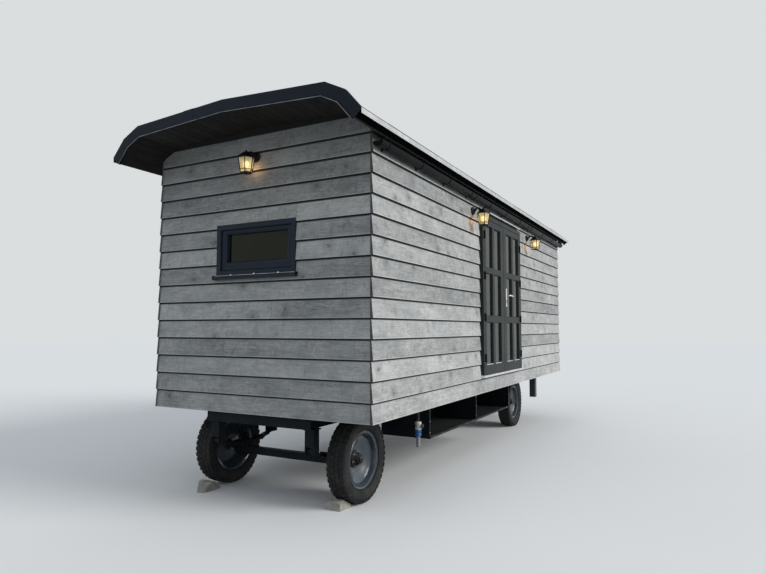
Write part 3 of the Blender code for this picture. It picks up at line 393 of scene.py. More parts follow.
finishes = {
    "boards": stainedTimber("greyStainedBoards", (0.69, 0.695, 0.685), (0.25, 0.255, 0.255), (0.085, 0.083, 0.08),
            0.72, lapped=0.1723),
    "lining": stainedTimber("insideLining", (0.62, 0.5, 0.34), (0.42, 0.31, 0.19), (0.2, 0.11, 0.05), 0.55, 0.7,
            0.35, 0.0005),
    "floor": stainedTimber("floorBoards", (0.36, 0.25, 0.15), (0.19, 0.12, 0.07), (0.08, 0.045, 0.025), 0.5, 0.9,
            0.4, 0.0006),
    # soffit boards kept almost black: painted shade under the eaves
    "soffit": stainedTimber("soffitBoards", (0.042, 0.041, 0.037), (0.017, 0.017, 0.015), (0.01, 0.009, 0.008),
            0.62, 1.0, 0.6, 0.0008),
    "batten": coatedMetal("wallCoreFelt", (0.03, 0.03, 0.032), (0.05, 0.05, 0.05), (0.12, 0.11, 0.1), 0.9),
    "sheet": coatedMetal("anthraciteSheet", (0.016, 0.021, 0.029), (0.011, 0.015, 0.021), (0.08, 0.085, 0.09),
            0.58, 0.2, 40.0, 0.0002, 1.2, 0.12),
    "fascia": coatedMetal("anthraciteFascia", (0.016, 0.024, 0.039), (0.01, 0.016, 0.026), (0.05, 0.061, 0.079),
            0.45, 0.14, 40.0, 0.0002, 1.2, 0.12, dustAndTopLight=0.1),
    "black": coatedMetal("blackCoatedMetal", (0.006, 0.007, 0.009), (0.01, 0.011, 0.013), (0.035, 0.036, 0.038),
            0.36, 0.18, 90.0, 0.0002, gloss=0.14),
    "gutter": coatedMetal("gutterCoat", (0.005, 0.007, 0.009), (0.008, 0.01, 0.012), (0.03, 0.032, 0.034), 0.3,
            0.2, 60.0, 0.0002, gloss=0.05),
    # near black: painted shade on the deck's edge under the eaves
    "eave": coatedMetal("eaveShadeBlack", (0.004, 0.004, 0.005), (0.007, 0.007, 0.008), (0.018, 0.018, 0.018),
            0.85, 0.2, 30.0, 0.0005, gloss=0.01),
    "door": coatedMetal("doorPaint", (0.03, 0.036, 0.037), (0.023, 0.028, 0.029), (0.085, 0.088, 0.08), 0.42, 0.2,
            70.0, 0.0003, 3.0, 0.12),
    "window": coatedMetal("windowPaint", (0.021, 0.034, 0.054), (0.016, 0.025, 0.041), (0.1, 0.1, 0.11), 0.38,
            0.14, 120.0, 0.0002, 3.0, 0.15),
    "aluminium": bareMetal("millAluminium", (0.88, 0.89, 0.9), (0.7, 0.71, 0.72), 0.36, (0.02, 1.0, 1.0)),
    "steel": bareMetal("brushedSteel", (0.92, 0.92, 0.91), (0.8, 0.8, 0.79), 0.3, (1.0, 1.0, 0.05)),
    "zinc": bareMetal("zincedSteel", (0.55, 0.55, 0.53), (0.3, 0.29, 0.27), 0.42),
    "glass": clearGlass("paneGlass", (0.014, 0.016, 0.012)),
    "windowGlass": clearGlass("windowPaneGlass", (0.012, 0.014, 0.01), 1.33),
    "chassis": coatedMetal("chassisPaint", (0.008, 0.013, 0.019), (0.013, 0.018, 0.024), (0.07, 0.065, 0.055),
            0.45, 0.2, 35.0, 0.0006, 3.5, 0.08, dustAndTopLight=0.25),
    "legPaint": coatedMetal("legPaint", (0.09, 0.106, 0.098), (0.066, 0.08, 0.075), (0.15, 0.14, 0.12), 0.45,
            0.26, 45.0, 0.0005, 4.0, 0.25),
    "wheel": coatedMetal("wheelPaint", (0.026, 0.044, 0.064), (0.017, 0.031, 0.046), (0.19, 0.22, 0.25), 0.28,
            0.12, 50.0, 0.0004, 6.0, 0.5, 0.6, dustAndTopLight=0.16),
    "hub": coatedMetal("hubBlack", (0.008, 0.009, 0.01), (0.018, 0.018, 0.018), (0.1, 0.095, 0.085), 0.45, 0.25,
            80.0, 0.0005, dustAndTopLight=0.3),
    "rubber": coatedMetal("tyreRubber", (0.008, 0.009, 0.011), (0.014, 0.015, 0.017), (0.15, 0.135, 0.115), 0.72,
            0.36, 70.0, 0.001, 5.0, 0.3),
    "seal": coatedMetal("sealRubber", (0.008, 0.008, 0.008), (0.014, 0.014, 0.014), (0.06, 0.06, 0.06), 0.7,
            gloss=0.1),
    "greyPlastic": coatedMetal("greyPlastic", (0.34, 0.37, 0.4), (0.26, 0.29, 0.32), (0.36, 0.34, 0.31), 0.45),
    "whitePlastic": coatedMetal("whitePlastic", (0.78, 0.78, 0.76), (0.66, 0.66, 0.64), (0.45, 0.42, 0.36), 0.4),
    "bluePlastic": coatedMetal("bluePlastic", (0.02, 0.16, 0.58), (0.015, 0.11, 0.42), (0.25, 0.3, 0.4), 0.38),
    "trim": bareMetal("dripTrimMetal", (0.66, 0.67, 0.68), (0.5, 0.51, 0.52), 0.45, (0.05, 1.0, 1.0)),
    "wornEdge": bareMetal("wornEdgeMetal", (0.24, 0.26, 0.28), (0.09, 0.1, 0.12), 0.45, (0.3, 1.0, 1.0)),
    "nuts": bareMetal("greasyNuts", (0.42, 0.42, 0.41), (0.16, 0.15, 0.14), 0.36),
    "concrete": brokenConcrete("brokenConcrete"), "bulb": litBulb("litBulb"),
    "lampGlass": lanternGlass("lanternGlass")}
print("finishes made")


# Roof section: the same line as the frame's, at any depth under the outside

roof = {"ridge": 3.55, "corners": ((1.068, 3.492), (1.257, 3.396), (1.4, 3.23)), "depth": 0.1,
    "sheetCorners": ((1.068, 3.492), (1.4, 3.23)), "covering": 0.012, "trim": 0.04, "windowOverhang": 0.455,
    "farOverhang": 0.25, "soffitBoard": 0.095, "soffitThick": 0.014, "groove": 0.0035, "fascia": 0.015,
    "fasciaDepth": 0.112, "lip": 0.01, "sheetWidth": 1.12}
roofStart = -halfLength - roof["windowOverhang"]
roofEnd = halfLength + roof["farOverhang"]


def roofLine(depth, corners="corners"):
    half = [Vector((0.0, roof["ridge"]))] + [Vector(p) for p in roof[corners]]
    points = [Vector((-p.x, p.y)) for p in reversed(half[1:])] + half
    normals = []
    for a, b in zip(points, points[1:]):
        run = (b - a).normalized()
        normals.append(Vector((run.y, -run.x)))
    line = [points[0] + normals[0] * depth]
    for i in range(1, len(points) - 1):
        mitre = (normals[i - 1] + normals[i]).normalized()
        line.append(points[i] + mitre * depth / mitre.dot(normals[i]))
    return line + [points[-1] + normals[-1] * depth]


def roofHeight(y, depth, corners="corners"):
    line = roofLine(depth, corners)
    for a, b in zip(line, line[1:]):
        if a.x <= y <= b.x:
            return a.y + (b.y - a.y) * (y - a.x) / (b.x - a.x)
    return line[0].y


def roofBand(upper, lower, low=-9.0, high=9.0, corners=("corners", "corners")):
    # closed outline between two depths, kept between two distances from the middle
    def kept(depth, which):
        line = roofLine(depth, which)
        inner = [p for p in line if low < p.x < high]
        start = [] if line[0].x > low else [Vector((low, roofHeight(low, depth, which)))]
        end = [] if line[-1].x < high else [Vector((high, roofHeight(high, depth, which)))]
        return start + inner + end
    return kept(upper, corners[0]) + kept(lower, corners[1])[::-1]


def trimUnderRoof(bm, depth):
    # cut away all that stands above the roof's underside, and close the cuts
    line = roofLine(depth)
    for a, b in zip(line, line[1:]):
        run = b - a
        up = Vector((0, -run.y, run.x)).normalized()
        geometry = bm.verts[:] + bm.edges[:] + bm.faces[:]
        made = bmesh.ops.bisect_plane(bm, geom=geometry, plane_co=(0, a.x, a.y), plane_no=up, clear_outer=True,
            dist=1e-6)
        cutEdges = [e for e in made["geom_cut"] if isinstance(e, bmesh.types.BMEdge) and e.is_boundary]
        if cutEdges:
            bmesh.ops.edgeloop_fill(bm, edges=cutEdges)


# Walls: lapped boards outside, a core, matchboard lining inside

cladding = {"show": 0.1723, "proud": 0.005, "lap": 0.0165, "thick": 0.028, "buttGap": 0.0016, "seed": 11}
lining = {"board": 0.121, "thick": 0.011, "vee": 0.003, "seed": 5}
doorway = {"middle": -0.046, "half": 0.83, "bottom": floorTop, "top": 3.03}
windowHole = {"middle": 0.0, "half": 0.465, "bottom": 2.07, "top": 2.555}


def grainLayers(bm):
    uv, rise = (bm.loops.layers.uv.get(name) or bm.loops.layers.uv.new(name) for name in ("grain", "rise"))
    return uv, rise, bm.faces.layers.float.get("tint") or bm.faces.layers.float.new("tint")


def addBoard(bm, wall, start, end, low, high, shift, tint, whole, lapped=True):
    # wall is ("X" or "Y", side): the way the boards run and the side of the hut that they are on
    run, side = wall
    face = (halfWidth if run == "X" else halfLength) + (cladding["proud"] if lapped else 0)
    if lapped:
        def out(z):
            return face - cladding["lap"] * (z - whole[0]) / cladding["show"]
        back = face - cladding["thick"]
        section = [(out(low) - (0.0015 if low == whole[0] else 0), low), (out(low), low + 0.0015),
            (out(high), high), (back, high), (back, low)]
    else:
        inner = face - wallThickness
        section = [(inner, low + lining["vee"]), (inner + lining["vee"], low), (inner + lining["thick"], low),
            (inner + lining["thick"], high), (inner + lining["vee"], high), (inner, high - lining["vee"])]
    uv, rise, tintLayer = grainLayers(bm)
    outline = [(side * p[0], p[1]) for p in section]
    for one in addPrism(bm, outline, run, start, end):
        one[tintLayer] = tint
        sawnEnd = len({round(v.co.x if run == "X" else v.co.y, 4) for v in one.verts}) == 1
        for loop in one.loops:
            at = loop.vert.co
            loop[rise].uv = (1.0 if sawnEnd else 0.0, at.z - whole[0] if lapped else 0.05)
            loop[uv].uv = ((at.x if run == "X" else at.y) + shift[0],
                at.z + (at.y if run == "X" else at.x) * 0.3 + shift[1])


def holeSides(hole, clearance=0.0015):
    return hole["middle"] - hole["half"] - clearance, hole["middle"] + hole["half"] + clearance


def boardedWall(bm, wall, start, end, top, butts, hole, lapped, seed):
    dice = random.Random(seed)
    size = cladding["show"] if lapped else lining["board"]
    first = bodyBottom if lapped else floorTop
    rows = int(ceil((top - first) / size))
    if lapped and wall[0] == "Y":
        rows -= 1  # the highest board on an end wall is a tall one, cut to the roof
    for row in range(rows):
        low = first + row * size
        high = top if row == rows - 1 else low + size
        whole = (low, high)
        marks = [start] + sorted(butts.get(row, ())) + [end]
        for a, b in zip(marks, marks[1:]):
            gap = cladding["buttGap"] / 2
            a, b = a + (gap if a != start else 0), b - (gap if b != end else 0)
            shift = (dice.uniform(0, 60), dice.uniform(0, 60))
            tint = dice.random()
            pieces = [(a, b, low, high)]
            holeLeft, holeRight = holeSides(hole) if hole else (0, 0)
            if hole and low < hole["top"] and high > hole["bottom"] and a < holeRight and b > holeLeft:
                pieces = [(a, holeLeft, low, high)] if a < holeLeft else []
                pieces += [(holeRight, b, low, high)] if b > holeRight else []
                left, right = max(a, holeLeft), min(b, holeRight)
                if low < hole["bottom"] - 0.002:
                    pieces.append((left, right, low, hole["bottom"] - 0.001))
                if high > hole["top"] + 0.002:
                    pieces.append((left, right, hole["top"] + 0.001, high))
            for piece in pieces:
                addBoard(bm, wall, *piece, shift, tint, whole, lapped)


def coreOutline(side, bottom, top=None):
    outer = halfWidth + cladding["proud"] - cladding["thick"] - 0.0005
    inner = halfWidth - wallThickness + lining["thick"] + 0.0005
    low, high = sorted((side * outer, side * inner))
    if top:
        return square(low, bottom, high, top)
    return [(low, bottom), (high, bottom), (high, roofHeight(high, roof["depth"] + 0.001)),
        (low, roofHeight(low, roof["depth"] + 0.001))]


def makeWall(name, wall, spans, heights, butts, hole, step, nodes):
    # lapped boards outside, then matchboard lining inside
    for kind, finish, span, top in zip(("Boards", "Lining"), ("boards", "lining"), spans, heights):
        lapped = finish == "boards"
        bm = bmesh.new()
        boardedWall(bm, wall, -span, span, top, butts if lapped else {}, hole, lapped,
            (cladding if lapped else lining)["seed"] + step)
        trimUnderRoof(bm, roof["depth"] + 0.0006)
        addPiece(name + kind, bm, finish, standsFor=nodes if lapped else ())


def makeLongWalls():
    # butt joints: row of boards, and where along it
    frontButts = {0: (0.62,), 1: (-1.15,), 4: (-2.31,), 7: (2.35,), 9: (-1.92,), 12: (-1.95, 1.6), 13: (0.4,)}
    backSpots = (-0.9, 1.3, -1.6, 0.5, -0.35, 1.9, -1.9, 0.9, -1.2, 1.5, -0.5, 0.8, -2.0, 0.2)
    frontNodes = ["front_wall_" + part for part in ("left", "right", "header", "sill")]
    base, reach = bodyBottom + 0.001, halfLength - cladding["thick"]
    heights = (roofHeight(halfWidth + cladding["proud"], roof["depth"]) + 0.03,
        roofHeight(halfWidth - wallThickness, roof["depth"]))
    for name, side, hole, butts, nodes in (("front", -1, doorway, frontButts, frontNodes),
            ("back", 1, None, {k: (at,) for k, at in enumerate(backSpots)}, "back_wall")):
        makeWall(name, ("X", side), (halfLength + 0.004, halfLength - wallThickness), heights, butts, hole, side,
            nodes)
        bm = bmesh.new()
        left, right = holeSides(hole, 0.001) if hole else (reach, reach)
        addPrism(bm, coreOutline(side, base), "X", -reach, left)
        if hole:
            addPrism(bm, coreOutline(side, base), "X", right, reach)
            for outline in (coreOutline(side, hole["top"] + 0.001),
                    coreOutline(side, base, hole["bottom"] - 0.001)):
                addPrism(bm, outline, "X", left + 0.001, right - 0.001)
        addPiece(name + "WallCore", bm, "batten")


def makeEndWalls():
    base, top = bodyBottom + 0.001, roof["ridge"] - roof["depth"] + 0.02
    reach = halfWidth + cladding["proud"] - cladding["thick"] - 0.001
    spans = (halfWidth + cladding["proud"] - 0.0265, halfWidth - wallThickness)
    # a board that the window's corner was cut out of is butted above that corner
    for name, side, hole, butts in (("window", -1, windowHole, {10: (-0.47,), 3: (0.36,), 5: (-0.2,)}),
            ("far", 1, None, {2: (0.5,), 6: (-0.4,), 9: (0.2,), 12: (-0.3,)})):
        makeWall(name + "End", ("Y", side), spans, (top, top), butts, hole, 7 * side, name + "_end_wall")
        bm = bmesh.new()
        layers = sorted((side * (halfLength + cladding["proud"] - cladding["thick"] - 0.001),
            side * (halfLength - wallThickness + lining["thick"] + 0.0005)))
        blocks = [(-reach, base, reach, top)]
        if hole:
            edge = hole["half"] + 0.001
            blocks = [(-reach, base, -edge, top), (edge, base, reach, top),
                (-edge, base, edge, hole["bottom"] - 0.001), (-edge, hole["top"] + 0.001, edge, top)]
        for block in blocks:
            addPrism(bm, square(*block), "X", *layers)
        trimUnderRoof(bm, roof["depth"] + 0.001)
        addPiece(name + "EndWallCore", bm, "batten")


def makeNails():
    # small nail heads along the lower edge of each outside board, one to each stud
    dice = random.Random(23)
    bm = bmesh.new()
    studs = {"X": [-3.4 + 0.567 * i for i in range(13)], "Y": [-1.16 + 0.58 * i for i in range(5)]}
    for run, side in (("X", -1), ("X", 1), ("Y", -1), ("Y", 1)):
        face = (halfWidth if run == "X" else halfLength) + cladding["proud"]
        hole = (doorway if run == "X" else windowHole) if side < 0 else None
        left, right = holeSides(hole, 0.05) if hole else (0, 0)
        for row in range(14):
            z = bodyBottom + row * cladding["show"] + 0.032
            depth = face - cladding["lap"] * 0.032 / cladding["show"]
            for stud in studs[run]:
                if left < stud < right and hole["bottom"] - 0.05 < z < hole["top"] + 0.02:
                    continue
                at = stud + dice.uniform(-0.006, 0.006)
                spot, out = (at, side * depth, z), (0, side, 0)
                if run == "Y":
                    spot, out = (side * depth, at, z), (side, 0, 0)
                addTurned(bm, [(0.0035, -0.0006), (0.0035, 0.0004), (0.0022, 0.0009)], spot, out, 8)
    addPiece("boardNails", bm, "zinc")


makeLongWalls()
makeEndWalls()
makeNails()
print("walls boarded")


def addStrip(bm, quad, start, end, shift, tint):
    # board that runs along X, with its grain laid out along it
    uv, _, tintLayer = grainLayers(bm)
    for face in addPrism(bm, quad, "X", start, end):
        face[tintLayer] = tint
        for loop in face.loops:
            at = loop.vert.co
            loop[uv].uv = (at.x + shift[0], at.y + at.z * 0.4 + shift[1])


def makeRoofDeck():
    dice = random.Random(31)
    bm = bmesh.new()
    start, end = roofStart + roof["fascia"] + 0.0005, roofEnd - roof["fascia"] - 0.0005
    upper, lower = roofLine(roof["depth"] - roof["soffitThick"]), roofLine(roof["depth"])
    for i in range(len(lower) - 1):
        width = (lower[i + 1] - lower[i]).length
        count = max(1, round(width / roof["soffitBoard"]))
        for k in range(count):
            a, b = k / count, (k + 1) / count
            low = [lower[i].lerp(lower[i + 1], t) for t in (a, b)]
            high = [upper[i].lerp(upper[i + 1], t) for t in (a, b)]
            vee = roof["groove"]
            run = (low[1] - low[0]).normalized() * vee
            rise = (high[0] - low[0]).normalized() * vee, (high[1] - low[1]).normalized() * vee
            outline = [low[0] + run, low[1] - run, low[1] + rise[1], high[1], high[0], low[0] + rise[0]]
            butt = dice.uniform(-2.4, 2.4)
            tint = dice.random()
            for one, two in ((start, butt - 0.0006), (butt + 0.0006, end)):
                addStrip(bm, outline, one, two, (dice.uniform(0, 50), dice.uniform(0, 50)),
                    min(1.0, max(0.0, tint + dice.uniform(-0.3, 0.3))))
    addPiece("soffitBoards", bm, "soffit", standsFor="roof_deck")
    # deck core between sheet and soffit, near black as painted shade under the eaves
    bm = bmesh.new()
    addPrism(bm, roofBand(roof["covering"] + 0.0005, roof["depth"] - roof["soffitThick"] - 0.0005,
        corners=("sheetCorners", "corners")), "X", start, end)
    addPiece("roofDeckCore", bm, "eave")


def makeRoofSheets():
    bm = bmesh.new()
    count = round((roofEnd - roofStart) / roof["sheetWidth"])
    width = (roofEnd - roofStart) / count
    sheets = ("sheetCorners", "sheetCorners")
    addPrism(bm, roofBand(0.0035, roof["covering"], corners=sheets), "X", roofStart + 0.002, roofEnd - 0.002)
    for k in range(count):
        lift = -0.0016 if k % 2 else 0.0
        lap = 0.045 if k % 2 else 0.0
        a = max(roofStart, roofStart + k * width - lap)
        b = min(roofEnd, roofStart + (k + 1) * width + lap)
        addPrism(bm, roofBand(lift, lift + 0.0025, corners=sheets), "X", a, b)
    addPiece("roofSheets", bm, "sheet", standsFor="roof_covering")
    # bare metal drip trim that hangs from both eaves
    bm = bmesh.new()
    for side in (-1, 1):
        out, top = roof["corners"][2]
        rise, thick = 0.79, 0.0016
        points = [(out - 0.03, top + 0.03 * rise + 0.004), (out + 0.003, top + 0.0016),
            (out + 0.003, top - roof["trim"]), (out + 0.003 - thick, top - roof["trim"]),
            (out + 0.003 - thick, top - 0.0004), (out - 0.03, top + 0.03 * rise + 0.0024)]
        for a, b in ((roofStart + 0.001, -1.31), (-1.3095, 1.2), (1.2005, roofEnd - 0.001)):
            addPrism(bm, [(side * y, z) for y, z in points], "X", a, b)
    addPiece("eaveTrim", bm, "trim")


def makeFascias():
    r, lip = roof, roof["fasciaDepth"] - roof["lip"]
    for name, face, out, joint in (("window", roofStart, -1, 0.34), ("far", roofEnd, 1, -0.34)):
        shape = "corners" if out < 0 else "sheetCorners"
        label = name + "EndFascia"

        def sheet(upper, lower, one, two, low=-9.0, high=9.0):
            # one and two are how far the sheet's sides stand out past the roof's end
            lines = [shape if depth < 0.03 else "corners" for depth in (upper, lower)]
            addPrism(bm, roofBand(upper, lower, low, high, lines), "X",
                *sorted((face + out * one, face + out * two)))

        bm = bmesh.new()
        sheet(r["covering"] + 0.0003, r["fasciaDepth"] - 0.001, 0, -r["fascia"])
        # lip folded out along the lower edge, and the flange turned over the roof
        sheet(lip, lip + 0.0022, -0.001, r["lip"])
        sheet(lip, r["fasciaDepth"], r["lip"] - 0.0022, r["lip"])
        sheet(-0.0036, -0.0016, 0.0022, -0.03)
        addPrism(bm, roofBand(-0.0017, 0.003, corners=(shape, "sheetCorners")), "X",
            *sorted((face - out * 0.0005, face - out * 0.029)))
        sheet(-0.0036, lip + 0.001, 0.0002, 0.0022)
        # the two lengths of fascia lap beside the ridge
        lap = sorted((joint, joint * 1.35))
        sheet(-0.0056, lip - 0.001, 0.0023, 0.0042, *lap)
        sheet(-0.0056, -0.0037, 0.0042, -0.03, *lap)
        addPiece(label, bm, "fascia", standsFor=name + "_end_fascia")
        # rubbed bare edge of the lip
        bm = bmesh.new()
        sheet(r["fasciaDepth"] - 0.0055, r["fasciaDepth"] + 0.0006, r["lip"] - 0.0026, r["lip"] + 0.0005)
        addPiece(label + "Edge", bm, "wornEdge")
    bm = bmesh.new()
    for face, out in ((roofStart, -1), (roofEnd, 1)):
        for y in (-1.16, -0.9, -0.6, -0.3, 0.0, 0.3, 0.6, 0.9, 1.16):
            for drop in (0.028, 0.078):
                addScrew(bm, (face + out * 0.0022, y, roofHeight(y, drop)), (out, 0, 0), 0.0042)
    addPiece("fasciaScrews", bm, "fascia")


gutter = {"radius": 0.044, "wall": 0.0022, "bead": 0.0065, "rim": 3.124, "clearance": 0.004, "bracket": 0.62,
    "sides": 22}


def makeGutter():
    bm = bmesh.new()
    r, rim, bead, wall = gutter["radius"], gutter["rim"], gutter["bead"], halfWidth
    centre = wall + gutter["clearance"] + r

    def arc(radius, start=0.0, stop=pi):
        angles = [start + (stop - start) * i / gutter["sides"] for i in range(gutter["sides"] + 1)]
        return [(-(centre + radius * cos(a)), rim - radius * sin(a)) for a in angles]

    def band(outer, inner, one, two, *turn):
        addPrism(bm, arc(r + outer, *turn) + arc(r + inner, *turn)[::-1], "X", *sorted((one, two)))

    band(0, -gutter["wall"], -halfLength + 0.002, halfLength - 0.002)
    ring = [(-(centre + r - bead * 0.6 + bead * cos(pi * k / 6)), rim + bead * 0.5 + bead * sin(pi * k / 6))
        for k in range(12)]
    addPrism(bm, ring, "X", -halfLength + 0.002, halfLength - 0.002)
    for way in (-1, 1):
        at = way * halfLength
        addPrism(bm, arc(r + 0.0022), "X", *sorted((at, at - way * 0.003)))
        band(0.0022, 0.0002, at, at - way * 0.028)
    # unions between the lengths
    for at in (-1.17, 1.17):
        band(0.0028, 0.0002, at - 0.045, at + 0.045)
        for edge in (-0.041, 0.041):
            band(0.0045, 0.0026, at + edge - 0.004, at + edge + 0.004)
    # the far end is closed up to the roof
    addPrism(bm, [(-wall - 0.004, rim - 0.01), (-centre - r + 0.002, rim - 0.002), (-1.3225, 3.1625),
        (-wall - 0.004, 3.24)], "X", halfLength - 0.0029, halfLength - 0.0006)
    addPiece("gutter", bm, "gutter", standsFor="gutter_door_side")
    bm = bmesh.new()
    span = halfLength - 0.15
    count = int(2 * span / gutter["bracket"])
    for k in range(count + 1):
        at = -halfLength + 0.15 + k * 2 * span / count
        band(0.005, 0.0024, at - 0.011, at + 0.011, -0.12, pi + 0.05)
        addBox(bm, (at - 0.011, -centre + r - 0.003, rim - 0.055), (at + 0.011, -wall + 0.008, rim + 0.02), 0.001)
        addBox(bm, (at - 0.009, -centre - r, rim + 0.001), (at + 0.009, -centre + r, rim + 0.004), 0.0006)
    addPiece("gutterBrackets", bm, "gutter")


makeRoofDeck()
makeRoofSheets()
makeFascias()
makeGutter()
print("roof covered")


def makeFloor():
    dice = random.Random(41)
    insideX, insideY = halfLength - wallThickness - 0.0005, halfWidth - wallThickness - 0.0005
    bm = bmesh.new()
    count = round(2 * insideY / 0.145)
    width = 2 * insideY / count
    for k in range(count):
        y0 = -insideY + k * width
        y1, vee, top, low = y0 + width, 0.0015, floorTop, floorTop - 0.02
        outline = [(y0, low), (y1, low), (y1, top - vee), (y1 - vee, top), (y0 + vee, top), (y0, top - vee)]
        cut = dice.uniform(-2.6, 2.6)
        for a, b in ((-insideX, cut), (cut + 0.0008, insideX)):
            addStrip(bm, outline, a, b, (dice.uniform(0, 50), dice.uniform(0, 50)), dice.random())
    addPiece("floorBoards", bm, "floor", standsFor="floor")
    bm = bmesh.new()
    addPrism(bm, square(-insideY, bodyBottom + 0.012, insideY, floorTop - 0.0205), "X", -insideX, insideX)
    # joists seen from below
    for k in range(13):
        at = -insideX + 0.03 + k * (2 * insideX - 0.06) / 12
        addBox(bm, (at - 0.022, -insideY, bodyBottom), (at + 0.022, insideY, bodyBottom + 0.0125), 0.001)
    addPiece("floorUnderside", bm, "batten", slot="floor_boards")


makeFloor()


# Double door

door = {"middle": doorway["middle"], "half": doorway["half"], "jamb": 0.05, "face": -halfWidth - 0.04,
    "foot": 1.0125, "head": 2.98, "leafThick": 0.056, "leafLow": 1.0175, "leafHigh": 2.925, "leafOuter": 0.775,
    "leafInner": 0.0045, "hingeStile": 0.058, "meetingStile": 0.12, "muntin": 0.08,
    "rows": ((1.1325, 1.653), (1.73, 2.258), (2.328, 2.85)), "barDeep": 0.022, "glassBack": 0.024, "bead": 0.009}
hinge = {"x": 0.7775, "y": door["face"] - 0.0105, "heights": (1.22, 1.71, 2.22, 2.72), "length": 0.09,
    "radius": 0.0085, "flap": 0.003, "reach": 0.032}
doorAt = (door["middle"], 0, 0)


def makeDoorFrame():
    d = door
    face, back, foot = d["face"], -halfWidth + wallThickness, d["foot"]
    closed, head = face + d["leafThick"], d["head"]
    half, inner, under = d["half"], d["half"] - d["jamb"], d["head"] - d["jamb"]
    bm = bmesh.new()
    for side in (-1, 1):
        addBox(bm, (side * (half - 0.0005), face, foot + 0.0004), (side * inner, back, under), 0.0022)
        # stop that the leaf closes on
        addBox(bm, (side * (inner + 0.001), closed + 0.004, foot + 0.001), (side * (inner - 0.014), back - 0.004,
            under - 0.001), 0.0015)
    addBox(bm, (-half + 0.0005, face, under), (half - 0.0005, back, head - 0.0004), 0.0022)
    addBox(bm, (-inner, closed + 0.004, under - 0.014), (inner, back - 0.004, under + 0.001), 0.0015)
    addPiece("doorFrame", bm, "door", standsFor="door_frame", at=doorAt)
    bm = bmesh.new()
    sealFace = closed + 0.0005
    for side in (-1, 1):
        addBox(bm, (side * (inner - 0.003), sealFace, foot + 0.02), (side * (inner - 0.012), sealFace + 0.004,
            under - 0.012), 0.001)
    addBox(bm, (-inner + 0.012, sealFace, under - 0.012), (inner - 0.012, sealFace + 0.004, under - 0.003), 0.001)
    addPiece("doorSeal", bm, "seal", at=doorAt)
    # black strip in the gap over the head as painted shade under the drip strip, and the folded drip strip that
    # ends the boards above it
    bm = bmesh.new()
    reach, gapTop, wall = half - 0.001, doorway["top"], -halfWidth
    addBox(bm, (-reach, wall + 0.004, head + 0.0002), (reach, back - 0.002, gapTop + 0.0005), 0.001)
    addBox(bm, (-reach, wall - 0.03, head + 0.0002), (reach, wall + 0.005, head + 0.0024), 0.0006)
    addPiece("doorHeadShadeStrip", bm, "seal", at=doorAt)
    bm = bmesh.new()
    nose = wall - cladding["proud"] - 0.016
    addPrism(bm, [(wall + 0.01, gapTop + 0.0008), (nose, gapTop + 0.0008), (nose, gapTop + 0.015),
        (nose + 0.002, gapTop + 0.015), (nose + 0.002, gapTop + 0.003), (wall + 0.01, gapTop + 0.003)], "X",
        -half - 0.01, half + 0.1)
    addPiece("doorDripStrip", bm, "aluminium", at=doorAt)
    bm = bmesh.new()
    front = face - 0.006
    outline = [(front, floorTop + 0.0006), (back, floorTop + 0.0006), (back, foot)]
    for rib in range(6):
        y = back - 0.012 - rib * 0.012
        outline += [(y, foot), (y - 0.002, foot - 0.0018), (y - 0.004, foot - 0.0018), (y - 0.006, foot)]
    outline += [(front + 0.006, foot), (front + 0.002, foot - 0.0015), (front, foot - 0.004)]
    addPrism(bm, outline, "X", -half + 0.001, half - 0.001)
    addPiece("doorThreshold", bm, "aluminium", standsFor="door_threshold", at=doorAt)


def addBead(bm, x0, x1, z0, z1, face, deep):
    # mitred glazing bead round one pane, sloped towards the glass
    size, rows = door["bead"], []
    for inset, y in ((0.0, face), (size * 0.35, face), (size, face + deep), (0.0, face + deep)):
        a, b, c, d = x0 + inset, x1 - inset, z0 + inset, z1 - inset
        rows.append([bm.verts.new((x, y, z)) for x, z in ((a, c), (b, c), (b, d), (a, d))])
    joinRows(bm, rows, True)


